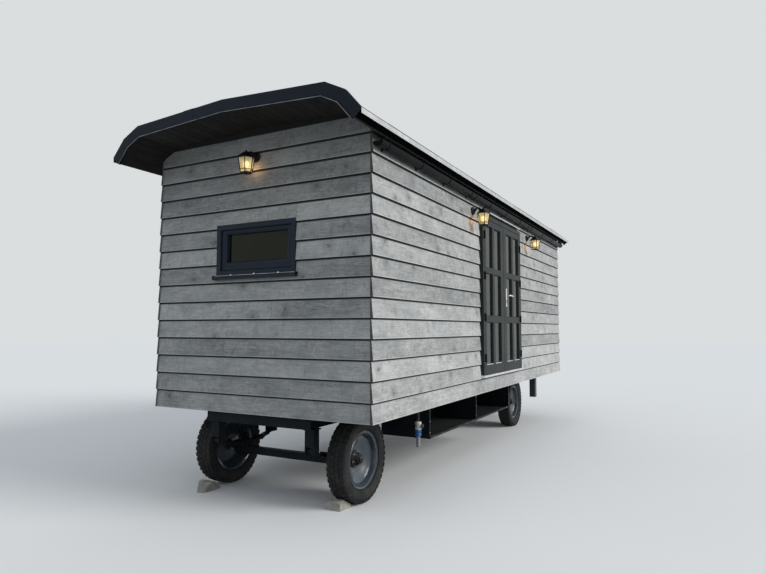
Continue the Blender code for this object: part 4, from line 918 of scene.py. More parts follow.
def makeLeaf(name, side, body):
    d, rows, ease, low = door, door["rows"], 0.002, door["leafLow"]
    face, back, high = d["face"], d["face"] + d["leafThick"], d["leafHigh"]
    outer, inner = side * d["leafOuter"], side * d["leafInner"]
    paneOuter, paneInner = side * (d["leafOuter"] - d["hingeStile"]), side * (d["leafInner"] + d["meetingStile"])
    centre, bar = (paneOuter + paneInner) / 2, d["muntin"] / 2
    glassFront = face + d["barDeep"]
    glassRear = glassFront + d["glassBack"]
    bm = bmesh.new()
    addBox(bm, (outer, face, low), (paneOuter, back, high), ease)
    addBox(bm, (inner, face, low), (paneInner, back, high), ease)
    for z0, z1 in ((low, rows[0][0]), (rows[2][1], high)):
        addBox(bm, (paneOuter, face + 0.0004, z0), (paneInner, back - 0.0004, z1), ease)
    for a, b in ((face + 0.0004, glassFront - 0.0005), (glassRear + 0.0005, back - 0.0004)):
        for under, over in zip(rows, rows[1:]):
            addBox(bm, (paneOuter, a, under[1]), (paneInner, b, over[0]), ease)
        for z0, z1 in rows:
            addBox(bm, (centre - bar, a, z0), (centre + bar, b, z1), ease)
    if side < 0:  # cover strip on the leaf that closes last
        addBox(bm, (-0.002, back - 0.001, low + 0.01), (-0.03, back + 0.006, high - 0.01), 0.0015)
    addPiece("doorLeaf" + name, bm, "door", body, standsFor="door_leaf_" + name.lower(), at=doorAt)
    columns = sorted((paneOuter, centre + side * bar)), sorted((centre - side * bar, paneInner))
    panes = [(x0, x1, z0, z1) for z0, z1 in rows for x0, x1 in columns]
    bm = bmesh.new()
    for pane in panes:
        addBead(bm, *pane, face + 0.004, d["barDeep"] - 0.0045)
        addBead(bm, *pane, back - 0.003, -(back - 0.003 - glassRear - 0.0005))
    addPiece("glazingBeads" + name, bm, "door", body, at=doorAt)
    bm = bmesh.new()
    for x0, x1 in columns:
        z0 = rows[0][0]
        addBox(bm, (x0 + 0.004, face + 0.0015, z0 + 0.001), (x1 - 0.004, glassFront - 0.001, z0 + 0.0105), 0.001)
    addPiece("glazingSills" + name, bm, "aluminium", body, at=doorAt)
    bm = bmesh.new()
    left, right = sorted((paneOuter, paneInner))
    for a, b in ((glassFront + 0.0002, glassFront + 0.0042), (glassRear - 0.0042, glassRear - 0.0002)):
        addBox(bm, (left + 0.0006, a, rows[0][0] + 0.0006), (right - 0.0006, b, rows[2][1] - 0.0006), 0.0003)
    addPiece("doorPanes" + name, bm, "glass", body, standsFor="door_glass_" + name.lower(), at=doorAt)
    bm = bmesh.new()
    a, b, thin, wide = glassFront + 0.0046, glassRear - 0.0046, 0.001, 0.007
    for x0, x1 in columns:
        for z0, z1 in rows:
            for left, right, under, over in ((x0 + thin, x0 + wide, z0 + thin, z1 - thin),
                    (x1 - wide, x1 - thin, z0 + thin, z1 - thin), (x0 + wide, x1 - wide, z0 + thin, z0 + wide),
                    (x0 + wide, x1 - wide, z1 - wide, z1 - thin)):
                addBox(bm, (left, a, under), (right, b, over), 0.0004)
    addPiece("glassSpacers" + name, bm, "seal", body, at=doorAt)


def makeHinges():
    h, third = hinge, hinge["length"] / 3
    face = door["face"]
    for name, side, body in (("Left", -1, "door_left"), ("Right", 1, "door_right")):
        x = side * h["x"]
        for onLeaf in (True, False):
            bm = bmesh.new()
            towards = -side if onLeaf else side
            for height in h["heights"]:
                base = height - h["length"] / 2
                for step in (1,) if onLeaf else (0, 2):
                    low, high = base + step * third + 0.0004, base + (step + 1) * third - 0.0004
                    addRod(bm, (x, h["y"], low), (x, h["y"], high), h["radius"], 20, 0.0008)
                    addBox(bm, (x + towards * h["radius"] * 0.3, face - h["flap"], low),
                        (x + towards * h["reach"], face - 0.0002, high), 0.0007)
                    addScrew(bm, (x + towards * (h["reach"] - 0.01), face - h["flap"], (low + high) / 2),
                        (0, -1, 0), 0.0045)
                if not onLeaf:
                    for end, way in ((base, -1), (base + 3 * third, 1)):
                        addTurned(bm, [(0.0068, 0), (0.0068, 0.003), (0.004, 0.0055), (0, 0.0062)],
                            (x, h["y"], end), (0, 0, way), 16)
            addPiece(("leafHinges" if onLeaf else "jambHinges") + name, bm, "black", body if onLeaf else "hut",
                at=doorAt)


handle = {"height": 2.015, "x": door["leafInner"] + door["meetingStile"] - 0.03, "below": 0.15, "above": 0.094,
    "width": 0.04, "thick": 0.008, "radius": 0.0095, "stand": 0.05, "length": 0.135, "droop": 0.01}


def makeHandle():
    h = handle
    x, z, r, thick = h["x"], h["height"], h["radius"], h["thick"]
    front, rear = door["face"] - 0.0004, door["face"] + door["leafThick"] + 0.0004
    bm = bmesh.new()
    for out, way in ((front, -1), (rear, 1)):
        top = out + way * thick
        addBox(bm, (x - h["width"] / 2, out, z - h["below"]), (x + h["width"] / 2, top, z + h["above"]), 0.0022)
        addTurned(bm, [(0.0145, -0.001), (0.0145, 0.003), (0.0125, 0.005), (0.0102, 0.005)], (x, top, z),
            (0, way, 0), 24)
        for drop in (0.078, -0.136):
            addScrew(bm, (x, top, z + drop), (0, way, 0), 0.0042)
    addPiece("handlePlates", bm, "steel", "door_right", standsFor="door_handle_plates", at=doorAt)
    bm = bmesh.new()
    front, rear = front - thick, rear + thick
    for out, way in ((front, -1), (rear, 1)):
        addTurned(bm, [(0.0085, -0.001), (0.0085, 0.0022), (0.007, 0.003), (0, 0.003)], (x, out, z - 0.072),
            (0, way, 0), 20)
        addBox(bm, (x - 0.0032, out, z - 0.1), (x + 0.0032, out + way * 0.0026, z - 0.074), 0.0008)
    addPiece("keyCylinder", bm, "black", "door_right", at=doorAt)
    bm = bmesh.new()
    addRod(bm, (x, front + 0.001, z), (x, rear - 0.001, z), 0.0058, 12)
    for end, start, way in ((front - h["stand"], front - 0.0055, 1), (rear + h["stand"], rear + 0.0055, -1)):
        path = [(x, start, z)]
        for a in [pi / 2 * k / 6 for k in range(7)]:
            path.append((x + 0.018 * (1 - cos(a)), end + way * 0.018 * (1 - sin(a)), z))
        for k in range(1, 7):
            path.append((x + 0.018 + (h["length"] - 0.018) * k / 6, end,
                z - h["droop"] * max(0, k / 6 - 0.4) ** 2))
        path.append((x + h["length"] + 0.006, end + way * 0.001, z - h["droop"] * 0.45))
        addTube(bm, path, [r] * (len(path) - 2) + [r * 0.95, r * 0.45], 16)
    addPiece("leverHandle", bm, "steel", "lever", standsFor="door_lever", at=doorAt)


makeDoorFrame()
makeLeaf("Left", -1, "door_left")
makeLeaf("Right", 1, "door_right")
makeHinges()
makeHandle()
print("door hung")


# Window in the end wall

window = {"half": 0.465, "low": 2.07, "high": 2.555, "frame": 0.05, "face": halfLength + 0.006, "deep": 0.1,
    "sashSide": 0.062, "sashTop": 0.042, "sashBottom": 0.082, "sashBack": 0.018, "sashDeep": 0.068,
    "glassBack": 0.058, "glass": 0.02, "sillProud": 0.036, "sillHeight": 0.036, "sillOver": 0.025}


def addMitredFrame(bm, half, low, high, profile):
    # profile is (inset, depth) points; each corner is mitred. Inset may be one number or (side, bottom, top)
    rows = []
    for inset, depth in profile:
        side, bottom, top = inset if isinstance(inset, tuple) else (inset, inset, inset)
        x, y, z0, z1 = -window["face"] + depth, half - side, low + bottom, high - top
        rows.append([bm.verts.new(spot) for spot in ((x, -y, z0), (x, y, z0), (x, y, z1), (x, -y, z1))])
    joinRows(bm, rows, True)


def makeWindow():
    w, rim, glass, back = window, window["frame"], window["glassBack"], window["sashBack"]
    outer = w["half"], w["low"], w["high"]
    sash = outer[0] - rim - 0.002, outer[1] + rim + 0.002, outer[2] - rim - 0.002
    full = (w["sashSide"] - 0.002, w["sashBottom"] - 0.002, w["sashTop"] - 0.002)

    def part(share, lift=0.0):
        return tuple(size * share + lift for size in full)

    bm = bmesh.new()
    addMitredFrame(bm, *outer, [(0.0, 0.0015), (0.0015, 0.0), (rim - 0.006, 0.0), (rim - 0.001, 0.004),
        (rim, 0.014), (rim, w["deep"]), (0.0, w["deep"])])
    addPiece("windowFrame", bm, "window", standsFor="window_frame")
    bm = bmesh.new()
    addMitredFrame(bm, *sash, [(0.0, back + 0.003), (0.003, back), (part(0.55), back), (part(0.62), back + 0.005),
        (part(0.9), back + 0.009), (part(1.0), back + 0.022), (part(1.0), glass - 0.0005),
        (part(0.6), glass + 0.002), (part(0.6), back + w["sashDeep"]), (0.0, back + w["sashDeep"])])
    addPiece("windowSash", bm, "window", standsFor="window_sash")
    bm = bmesh.new()
    addMitredFrame(bm, *sash, [(part(1.0, -0.001), glass - 0.006), (part(1.0, 0.003), glass - 0.004),
        (part(1.0, 0.003), glass - 0.0004), (part(1.0, -0.001), glass - 0.0004)])
    addMitredFrame(bm, *outer, square(rim - 0.0005, 0.02, rim + 0.0022, 0.026))
    addPiece("windowSeals", bm, "seal")
    bm = bmesh.new()
    x = -w["face"] + glass
    half, low, high = (edge + way * size * 0.97 for edge, way, size in zip(sash, (-1, 1, -1), full))
    for a, b in ((x + 0.0004, x + 0.0044), (x + w["glass"] - 0.0044, x + w["glass"] - 0.0004)):
        addBox(bm, (a, -half, low), (b, half, high), 0.0003)
    addPiece("windowPanes", bm, "windowGlass", standsFor="window_glass")
    bm = bmesh.new()
    near, far = glass + 0.0048, glass + w["glass"] - 0.0048
    addMitredFrame(bm, *sash, [(part(1.0, -0.001), near), (part(1.0, 0.009), near), (part(1.0, 0.009), far),
        (part(1.0, -0.001), far)])
    addPiece("windowSpacer", bm, "zinc", slot="window_paint")
    # folded sill with turned-up ends, and the drain slots over it
    bm = bmesh.new()
    top, nose, wall = w["low"] - 0.0004, -halfLength - w["sillProud"], -halfLength - 0.0004
    reach, under = w["half"] + w["sillOver"], top - w["sillHeight"]
    addPrism(bm, [(nose, under), (nose + 0.008, under), (nose + 0.008, top - 0.014), (wall, top - 0.005),
        (wall, top), (nose + 0.002, top - 0.008), (nose, top - 0.01)], "Y", -reach, reach)
    addBox(bm, (nose + 0.009, -reach + 0.01, under + 0.002), (wall, reach - 0.01, top - 0.016), 0.001)
    for side in (-1, 1):
        addBox(bm, (nose, side * reach, under), (wall, side * (reach - 0.003), top + 0.004), 0.0006)
    addPiece("windowSill", bm, "window", standsFor="window_sill")
    face, low = -w["face"], w["low"]
    bm = bmesh.new()
    for at in (-0.28, 0.0, 0.28):
        addBox(bm, (face - 0.0062, at - 0.007, low + 0.001), (face + 0.001, at + 0.007, low + 0.0125), 0.0007)
    addPiece("drainCaps", bm, "aluminium")
    bm = bmesh.new()
    addBox(bm, (face - 0.0046, -w["half"] + 0.004, low + 0.0002), (face + 0.001, w["half"] - 0.004, low + 0.0046),
        0.0006)
    addPiece("sillStrip", bm, "zinc", slot="threshold_metal")
    bm = bmesh.new()
    inside, low = face + back + w["sashDeep"], sash[1]
    addBox(bm, (inside, -0.014, low + 0.014), (inside + 0.008, 0.014, low + 0.064), 0.002)
    addTube(bm, [(inside + out, y, low + 0.04) for out, y in ((0.008, 0), (0.03, 0), (0.04, 0.012),
        (0.041, 0.1))], 0.008, 12)
    addPiece("windowCatch", bm, "steel")


makeWindow()
print("window set")


# Wall lanterns

lantern = {"endHeight": 3.16, "sideHeight": 2.96, "leftOfDoor": 0.245, "rightOfDoor": 0.515, "out": 0.13,
    "plate": 0.05, "plateThick": 0.016, "arm": 0.0105, "glassTop": 0.075, "glassBottom": 0.052,
    "glassHeight": 0.14, "glassDrop": 0.036, "capHeight": 0.052, "capRadius": 0.087, "capTop": 0.026,
    "bar": 0.0074, "glow": 0.2, "glowOut": 0.058}


def makeLantern(name, foot, outward):
    d, foot, outward, up, p = lantern, Vector(foot), Vector(outward), Vector((0, 0, 1)), lantern["plate"]
    centre, top = foot + outward * d["out"], foot.z - d["glassDrop"]
    bottom = top - d["glassHeight"]
    flat = Vector((centre.x, centre.y, 0))
    wideLow, wideTop, cap, crown, tall = (
        d[key] for key in ("glassBottom", "glassTop", "capRadius", "capTop", "capHeight"))
    angles = [2 * pi * (k + 0.5) / 6 for k in range(6)]
    panes = list(zip(angles, angles[1:] + angles[:1]))

    def corner(angle, radius, z):
        return Vector((centre.x + radius * cos(angle), centre.y + radius * sin(angle), z))

    def turned(height, sides, phase, *profile):
        addTurned(bm, [(radius, height + z) for radius, z in profile], flat, (0, 0, 1), sides, phase=phase)

    bm = bmesh.new()
    addTurned(bm, [(p, 0.0004), (p, 0.005), (p * 0.93, 0.009), (p * 0.8, 0.01), (p * 0.72, 0.013),
        (p * 0.45, d["plateThick"]), (0, d["plateThick"] + 0.001)], foot, outward, 32)
    steps = [k / 12 for k in range(13)]
    addTube(bm, [foot + outward * (0.01 + (d["out"] - 0.01) * t) + up * (0.034 * sin(pi * min(1, t * 1.1)) - 0.006
        * t) for t in steps], [d["arm"] * (1.25 - 0.35 * sin(pi * k / 12)) for k in range(13)], 14)
    addTube(bm, [foot + outward * (0.02 + 0.03 * t) + up * (-0.03 + 0.04 * t + 0.012 * sin(pi * t))
        for t in [i / 8 for i in range(9)]], 0.0055, 10)
    # flared cap, six-sided, with a stepped crown and a finial
    turned(top, 6, 0.5, (wideTop - 0.006, -0.004), (cap, -0.001), (cap, 0.003), (cap * 0.84, 0.016),
        (cap * 0.6, 0.031), (crown * 1.25, tall - 0.006), (crown * 1.25, tall - 0.001),
        (crown * 0.8, tall + 0.001), (0, tall + 0.002))
    turned(top + tall, 16, 0.0, (0.01, 0), (0.012, 0.004), (0.007, 0.008), (0.009, 0.013), (0.005, 0.018),
        (0, 0.02))
    for angle in angles:
        addTube(bm, [corner(angle, wideLow + 0.001, bottom), corner(angle, wideTop + 0.001, top)],
            d["bar"] * 0.62, 6)
    for z, radius, thick in ((bottom, wideLow, 0.0045), (top - 0.004, wideTop - 0.001, 0.0045),
            (bottom + 0.028, wideLow + 0.0048, 0.0032)):
        for pair in panes:
            addTube(bm, [corner(angle, radius + 0.001, z) for angle in pair], thick, 6)
    turned(bottom, 6, 0.5, (0, -0.016), (0.006, -0.014), (0.009, -0.009), (0.005, -0.005),
        (wideLow * 0.55, -0.004), (wideLow, -0.001), (wideLow - 0.004, 0.003), (0, 0.003))
    addRod(bm, (*flat[:2], bottom + 0.002), (*flat[:2], bottom + 0.034), 0.013, 18, 0.001)
    addPiece("lantern" + name, bm, "black", standsFor="lantern_" + name.lower(), sharp=28)
    bm = bmesh.new()
    for a, b in panes:
        low = [corner(angle, wideLow - 0.001, bottom + 0.003) for angle in (a, b)]
        high = [corner(angle, wideTop - 0.001, top - 0.003) for angle in (b, a)]
        inward = (flat - Vector((low[0].x + low[1].x, low[0].y + low[1].y, 0)) / 2).normalized()
        side = (low[1] - low[0]).normalized() * 0.0022
        quad = [low[0] + side, low[1] - side, high[0] - side, high[1] + side]
        rows = [[bm.verts.new(q + inward * t) for q in quad] for t in (0.0, 0.0022)]
        bm.faces.new(rows[0])
        bm.faces.new(rows[1][::-1])
        joinRows(bm, rows)
    addPiece("lanternPanes" + name, bm, "lampGlass", standsFor="lantern_glass_" + name.lower())
    bm = bmesh.new()
    turned(bottom + 0.034, 24, 0.0, (0.0125, 0), (0.014, 0.01), (0.022, 0.028), (0.0255, 0.045), (0.022, 0.06),
        (0.012, 0.07), (0, 0.0725))
    addPiece("bulb" + name, bm, "bulb")
    glow = bpy.data.lights.new("glow" + name, "POINT")
    glow.energy, glow.color, glow.shadow_soft_size = d["glow"], (1.0, 0.56, 0.26), 0.03
    lamp = addToScene(bpy.data.objects.new("glow" + name, glow))
    lamp.location = foot + outward * d["glowOut"] + middle
    lamp.location.z = bottom + 0.06


makeLantern("End", (-halfLength - 0.004, 0, lantern["endHeight"]), (-1, 0, 0))
for lampName, lampX in (("Left", door["middle"] - door["half"] - lantern["leftOfDoor"]),
        ("Right", door["middle"] + door["half"] + lantern["rightOfDoor"])):
    makeLantern(lampName, (lampX, -halfWidth - 0.004, lantern["sideHeight"]), (0, -1, 0))
print("lanterns hung")


# Running gear

gear = {"axles": (("Front", -2.97), ("Rear", 1.88)), "centre": 0.385, "tyre": 0.385, "tyreWide": 0.186,
    "track": 0.866, "rim": 0.262, "rimWide": 0.15, "spread": 0.55, "beamTop": 0.385, "beam": 0.07, "span": 0.4,
    "springWide": 0.07, "leaf": 0.01, "leaves": 5, "eyeHeight": 0.505, "eye": 0.024, "pin": 0.012, "studs": 6,
    "studCircle": 0.0625, "lugs": 42}


def springTop(offset):
    seat = gear["beamTop"] + gear["leaf"] * gear["leaves"]
    rise = gear["eyeHeight"] - gear["eye"] + gear["leaf"] - seat
    return seat + rise * (offset / gear["span"]) ** 2


def makeSpring(label, axle, y, node):
    g, wide, under = gear, gear["springWide"] / 2, gear["beamTop"] - gear["beam"]
    bm = bmesh.new()
    for leaf in range(g["leaves"]):
        reach = g["span"] if leaf == 0 else g["span"] * (g["leaves"] - leaf) / g["leaves"] + 0.012
        drop, half, steps = leaf * g["leaf"], wide - 0.0012 * leaf, 14 if leaf < 2 else 8
        marks = [-reach + 2 * reach * i / steps for i in range(steps + 1)]
        upper = [(axle + m, springTop(m) - drop - 0.0004) for m in marks]
        lower = [(axle + m, springTop(m) - drop - g["leaf"] + 0.0006) for m in marks[::-1]]
        addPrism(bm, upper + lower, "Y", y - half, y + half)
    top, inner = springTop(g["span"] * 0.52), g["pin"] + 0.004
    for end in (-1, 1):
        at, clip = axle + end * g["span"], axle + end * g["span"] * 0.52
        addTurned(bm, [(g["eye"], -wide), (g["eye"], wide), (inner, wide), (inner, -wide)],
            (at, y, g["eyeHeight"]), (0, 1, 0), 24, ring=True)
        for side in (-1, 1):
            addBox(bm, (clip - 0.011, y + side * (wide + 0.0005), top - 0.034),
                (clip + 0.011, y + side * (wide + 0.004), top + 0.006), 0.0008)
        addBox(bm, (clip - 0.011, y - wide - 0.004, top + 0.002), (clip + 0.011, y + wide + 0.004, top + 0.006),
            0.0008)
        addRod(bm, (clip, y - wide - 0.01, top + 0.01), (clip, y + wide + 0.01, top + 0.01), 0.004, 8)
    addPiece("spring" + label, bm, "chassis", standsFor=node)
    bm = bmesh.new()
    # two U bolts over the spring, their plate and nuts under the axle
    seat, side = springTop(0), wide + 0.008
    for along in (-1, 1):
        x = axle + along * (g["beam"] / 2 + 0.008)
        arch = [(x, y - side * cos(pi * k / 8), seat + 0.014 * sin(pi * k / 8)) for k in range(1, 8)]
        arch = [(x, y - side, under - 0.03), (x, y - side, seat)] + arch
        addTube(bm, arch + [(x, y + side, seat), (x, y + side, under - 0.03)], 0.0062, 10)
        for way in (-1, 1):
            addBolt(bm, (x, y + way * side, under - 0.01), (0, 0, -1), 0.012)
    addBox(bm, (axle - 0.06, y - 0.055, under - 0.01), (axle + 0.06, y + 0.055, under - 0.0005), 0.0015)
    addBox(bm, (axle - 0.05, y - 0.034, seat - 0.0002), (axle + 0.05, y + 0.034, seat + 0.008), 0.0015)
    addBolt(bm, (axle, y, seat + 0.008), (0, 0, 1), 0.01)
    addPiece("springBolts" + label, bm, "chassis")
    bm = bmesh.new()
    for end in (-1, 1):
        for side in (-1, 1):
            spot = (axle + end * g["span"], y + side * (wide + 0.0145), g["eyeHeight"])
            addBolt(bm, spot, (0, side, 0), 0.017, 0.004)
    addPiece("hangerPins" + label, bm, "chassis")


def makeAxle(name, axle):
    g = gear
    bm = bmesh.new()
    inner = g["track"] - g["tyreWide"] / 2 - g["rimWide"] / 2 - 0.02
    half = g["beam"] / 2
    addBox(bm, (axle - half, -inner, g["beamTop"] - g["beam"]), (axle + half, inner, g["beamTop"]), 0.004)
    for side in (-1, 1):
        # hub carrier, flange and the stub that the wheel turns on
        y = side * (inner - 0.03)
        addTurned(bm, [(0.04, 0), (0.054, 0.006), (0.054, 0.02), (0.046, 0.024), (0.046, 0.05), (0.0298, 0.052),
            (0.0298, 0.132), (0.02, 0.1325), (0, 0.1325)], (axle, y, g["centre"]), (0, side, 0), 28)
        addTube(bm, [(axle - half - 0.001, side * (inner - 0.034), g["beamTop"] - 0.004),
            (axle + half + 0.001, side * (inner - 0.034), g["beamTop"] - 0.004)], 0.004, 8)
    addPiece("axle" + name, bm, "chassis", standsFor=name.lower() + "_axle")


def makeWheel(label, axle, side, body, tyreNode):
    g = gear
    y = side * (g["track"] - g["tyreWide"] / 2)
    at = (axle, y, g["centre"])
    half, rim = g["rimWide"] / 2, g["rim"]
    well = rim - 0.02

    def onWheel(radius, angle, out):
        return axle + radius * cos(angle), y + side * out, g["centre"] + radius * sin(angle)

    bm = bmesh.new()
    # pressed rim: rolled edge, well, and a disc that is hollow towards the outside
    profile = [(0.0305, half - 0.1), (0.086, half - 0.1), (0.09, half - 0.106), (0.1, half - 0.105),
        (0.13, half - 0.095), (0.16, half - 0.082), (0.186, half - 0.069), (0.204, half - 0.063),
        (0.212, half - 0.062), (0.218, half - 0.056), (0.221, half - 0.048), (0.226, half - 0.018),
        (0.23, half - 0.01), (0.234, half - 0.011), (0.238, half - 0.019), (0.249, half - 0.02),
        (rim - 0.008, half - 0.011), (rim - 0.005, half - 0.003), (rim - 0.003, half), (rim, half - 0.002),
        (rim + 0.0005, half - 0.007), (rim - 0.004, half - 0.01), (well, half - 0.013), (well, -half + 0.013),
        (rim - 0.004, -half + 0.01), (rim, -half + 0.006), (rim - 0.002, -half), (rim - 0.01, -half + 0.003),
        (0.234, -half + 0.012), (0.233, half - 0.062), (0.206, half - 0.07), (0.186, half - 0.076),
        (0.15, half - 0.094), (0.1, half - 0.113), (0.09, half - 0.115), (0.0305, half - 0.115)]
    addTurned(bm, profile, at, (0, side, 0), 72, ring=True)
    # weld bead where the disc meets the rim
    bead = [onWheel(0.2205, 2 * pi * k / 48, half - 0.0545) for k in range(48)]
    addTube(bm, bead, 0.0024, 6, closed=True)
    addPiece("wheel" + label, bm, "wheel", body, standsFor=body, sharp=50)
    bm = bmesh.new()
    # black boss over the hub, a ring of studs on it and a domed cap in the middle
    hubFace = half - 0.046
    addTurned(bm, [(0.079, half - 0.1005), (0.079, half - 0.09), (0.077, half - 0.087), (0.066, half - 0.085),
        (0.048, hubFace - 0.01), (0.046, hubFace + 0.002), (0.044, hubFace + 0.006), (0.034, hubFace + 0.008),
        (0.031, hubFace + 0.0005), (0.031, half - 0.1005)], at, (0, side, 0), 48, ring=True)
    addTurned(bm, [(0.0305, hubFace + 0.001), (0.031, hubFace + 0.016), (0.026, hubFace + 0.021),
        (0.014, hubFace + 0.0235), (0, hubFace + 0.024)], at, (0, side, 0), 32)
    addPiece("hub" + label, bm, "hub", body)
    bm = bmesh.new()
    for k in range(g["studs"]):
        spot = onWheel(g["studCircle"], 2 * pi * (k + 0.25) / g["studs"], half - 0.0845)
        addBolt(bm, spot, (0, side, 0), 0.0105, 0.014)
    addPiece("hubNuts" + label, bm, "nuts", body)
    bm = bmesh.new()
    addRod(bm, onWheel(0.212, 1.1, half - 0.06), onWheel(0.2, 1.1, half - 0.02), 0.0042, 10, 0.001)
    addPiece("valve" + label, bm, "seal", body, slot="tyre_rubber")
    makeTyre(label, at, side, body, tyreNode)


def makeTyre(label, at, side, body, node):
    g = gear
    half = g["tyreWide"] / 2
    tread = g["tyre"] - 0.0095
    bm = bmesh.new()
    one = [(0.2425, -0.062), (0.266, -0.0625), (0.27, -half * 0.86), (0.284, -half * 0.93),
        (0.2865, -half * 0.955), (0.29, -half * 0.955), (0.2925, -half * 0.945), (0.306, -half * 0.99),
        (0.325, -half), (0.342, -half * 0.985), (0.3435, -half * 1.0), (0.3475, -half * 1.0),
        (0.349, -half * 0.975), (tread - 0.008, -half * 0.935), (tread - 0.001, -half * 0.86),
        (tread, -half * 0.7), (tread + 0.001, -half * 0.3)]
    profile = one + [(r, -out) for r, out in reversed(one)]
    addTurned(bm, profile, at, (0, side, 0), 96, ring=True)
    centre = Vector(at)

    def lug(angle, width, yLow, yHigh, skew, low, high, edge):
        # one tread block, its outer face smaller than its foot
        rows = []
        for radius, shrink in ((low, 0.0), (high - 0.0015, edge), (high, edge + 0.0015)):
            ring = []
            for u, v in ((-1, -1), (1, -1), (1, 1), (-1, 1)):
                y = (yLow if v < 0 else yHigh) - v * shrink
                a = angle + u * (width / 2 - shrink) / g["tyre"] + skew * y
                crown = 1.0 - 0.1 * (abs(y) / half) ** 2 * 0.12
                spot = Vector((radius * crown * cos(a), side * y, radius * crown * sin(a)))
                ring.append(bm.verts.new(centre + spot))
            rows.append(ring)
        bm.faces.new(rows[0])
        bm.faces.new(rows[-1])
        joinRows(bm, rows)

    count = g["lugs"]
    step = 2 * pi / count
    pitch = step * g["tyre"]
    for k in range(count):
        angle = k * step
        for way in (-1, 1):
            shift = 0.0 if way > 0 else step / 2
            lug(angle + shift, pitch * 0.72, *sorted((way * half * 0.5, way * half * 0.975)), way * 1.6,
                tread - 0.012, g["tyre"] - 0.0015, 0.0016)
            lug(angle + shift + step * 0.34, pitch * 0.68, *sorted((way * half * 0.08, way * half * 0.44)),
                way * -2.0, tread - 0.004, g["tyre"] - 0.0004, 0.0014)
            # shoulder cleat down the side of each outer block
            a = angle + shift + way * 1.6 * way * half * 0.96
            rows, spread = [], pitch * 0.27 / g["tyre"]
            for radius, out in ((tread - 0.024, half * 0.99), (tread - 0.004, half * 0.94)):
                for deep in (-0.004, 0.0055):
                    spots = [(radius * cos(b), side * way * (out + deep), radius * sin(b))
                        for b in (a - spread, a + spread)]
                    rows.append([bm.verts.new(centre + Vector(spot)) for spot in spots])
            a0, a1, b0, b1 = rows
            for quad in ((a0[0], a0[1], a1[1], a1[0]), (b0[0], b0[1], b1[1], b1[0]), (a0[0], a1[0], b1[0], b0[0]),
                    (a0[1], a1[1], b1[1], b0[1]), (a1[0], a1[1], b1[1], b1[0]), (a0[0], a0[1], b0[1], b0[0])):
                bm.faces.new(quad)
    addPiece("tyre" + label, bm, "rubber", body, standsFor=node, sharp=32)


def makeRunningGear():
    for name, axle in gear["axles"]:
        makeAxle(name, axle)
        for sideName, side, node in hutSides:
            label = name + sideName
            low = name.lower() + "_" + node
            makeSpring(label, axle, side * gear["spread"], "spring_" + low)
            makeWheel(label, axle, side, "wheel_" + low, "tyre_" + low)


makeRunningGear()
print("wheels on")


# Chassis: the frame's own solid carries the paint, and bolts, plates and welds are added to it

chassis = {"top": 0.8, "deep": 0.1, "rail": 0.55}


def makeChassisDetails():
    c = chassis
    bm = bmesh.new()
    railBottom = c["top"] - c["deep"]
    # pads welded and bolted on over the spring hangers
    for _, axle in gear["axles"]:
        for end in (-1, 1):
            for side in (-1, 1):
                x, y = axle + end * gear["span"], side * c["rail"]
                addBox(bm, (x - 0.062, y - 0.06, railBottom - 0.0065), (x + 0.062, y + 0.06, railBottom - 0.0002),
                    0.0015)
                for way in (-1, 1):
                    weld, z = y + way * 0.0475, railBottom - 0.008
                    addTube(bm, [(x - 0.042, weld, z), (x + 0.042, weld, z)], 0.0035, 6)
                    for along in (-1, 1):
                        addBolt(bm, (x + along * 0.052, y + way * 0.048, railBottom - 0.0065), (0, 0, -1), 0.008)
    addPiece("chassisPlates", bm, "chassis")


def makeTray():
    x0, x1, y0, y1, z0 = -2.19, 0.56, -1.15, -0.6, 0.47
    top, divider, sheet, lip = chassis["top"] - 0.0006, -0.8, 0.003, 0.022
    bm = bmesh.new()
    addBox(bm, (x0, y0, z0), (x1, y1, z0 + sheet), 0.0006)
    addBox(bm, (x0, y1 - sheet, z0 + sheet), (x1, y1, top), 0.0006)
    for x in (x0, x1 - sheet, divider - sheet / 2):
        addBox(bm, (x, y0, z0 + sheet), (x + sheet, y1 - sheet, top), 0.0006)
    # folded lips at the front edges
    addBox(bm, (x0, y0 - 0.0005, z0), (x1, y0 + 0.003, z0 + lip), 0.0006)
    for x, way in ((x0, 1), (x1, -1)):
        addBox(bm, (x, y0 - 0.0005, z0), (x + way * lip, y0 + 0.003, top), 0.0006)
    addBox(bm, (divider - lip / 2, y0 - 0.0005, z0), (divider + lip / 2, y0 + 0.003, top), 0.0006)
    for x, y in ((x0, y0), (x0, y1 - 0.03), (x1 - 0.05, y0), (x1 - 0.05, y1 - 0.03), (divider - 0.025, y0)):
        addBox(bm, (x, y, top - 0.005), (x + 0.05, y + 0.03, top), 0.0006)
    addPiece("storageTray", bm, "chassis", standsFor="storage_tray")
    bm = bmesh.new()
    for x in (x0 + lip / 2, divider, x1 - lip / 2):
        for k in range(3):
            addScrew(bm, (x, y0 - 0.0005, z0 + 0.06 + k * 0.11), (0, -1, 0), 0.0045)
    for k in range(12):
        addScrew(bm, (x0 + 0.12 + k * (x1 - x0 - 0.24) / 11, y0 - 0.0005, z0 + lip / 2), (0, -1, 0), 0.0045)
    addPiece("trayRivets", bm, "zinc", slot="chassis_paint")


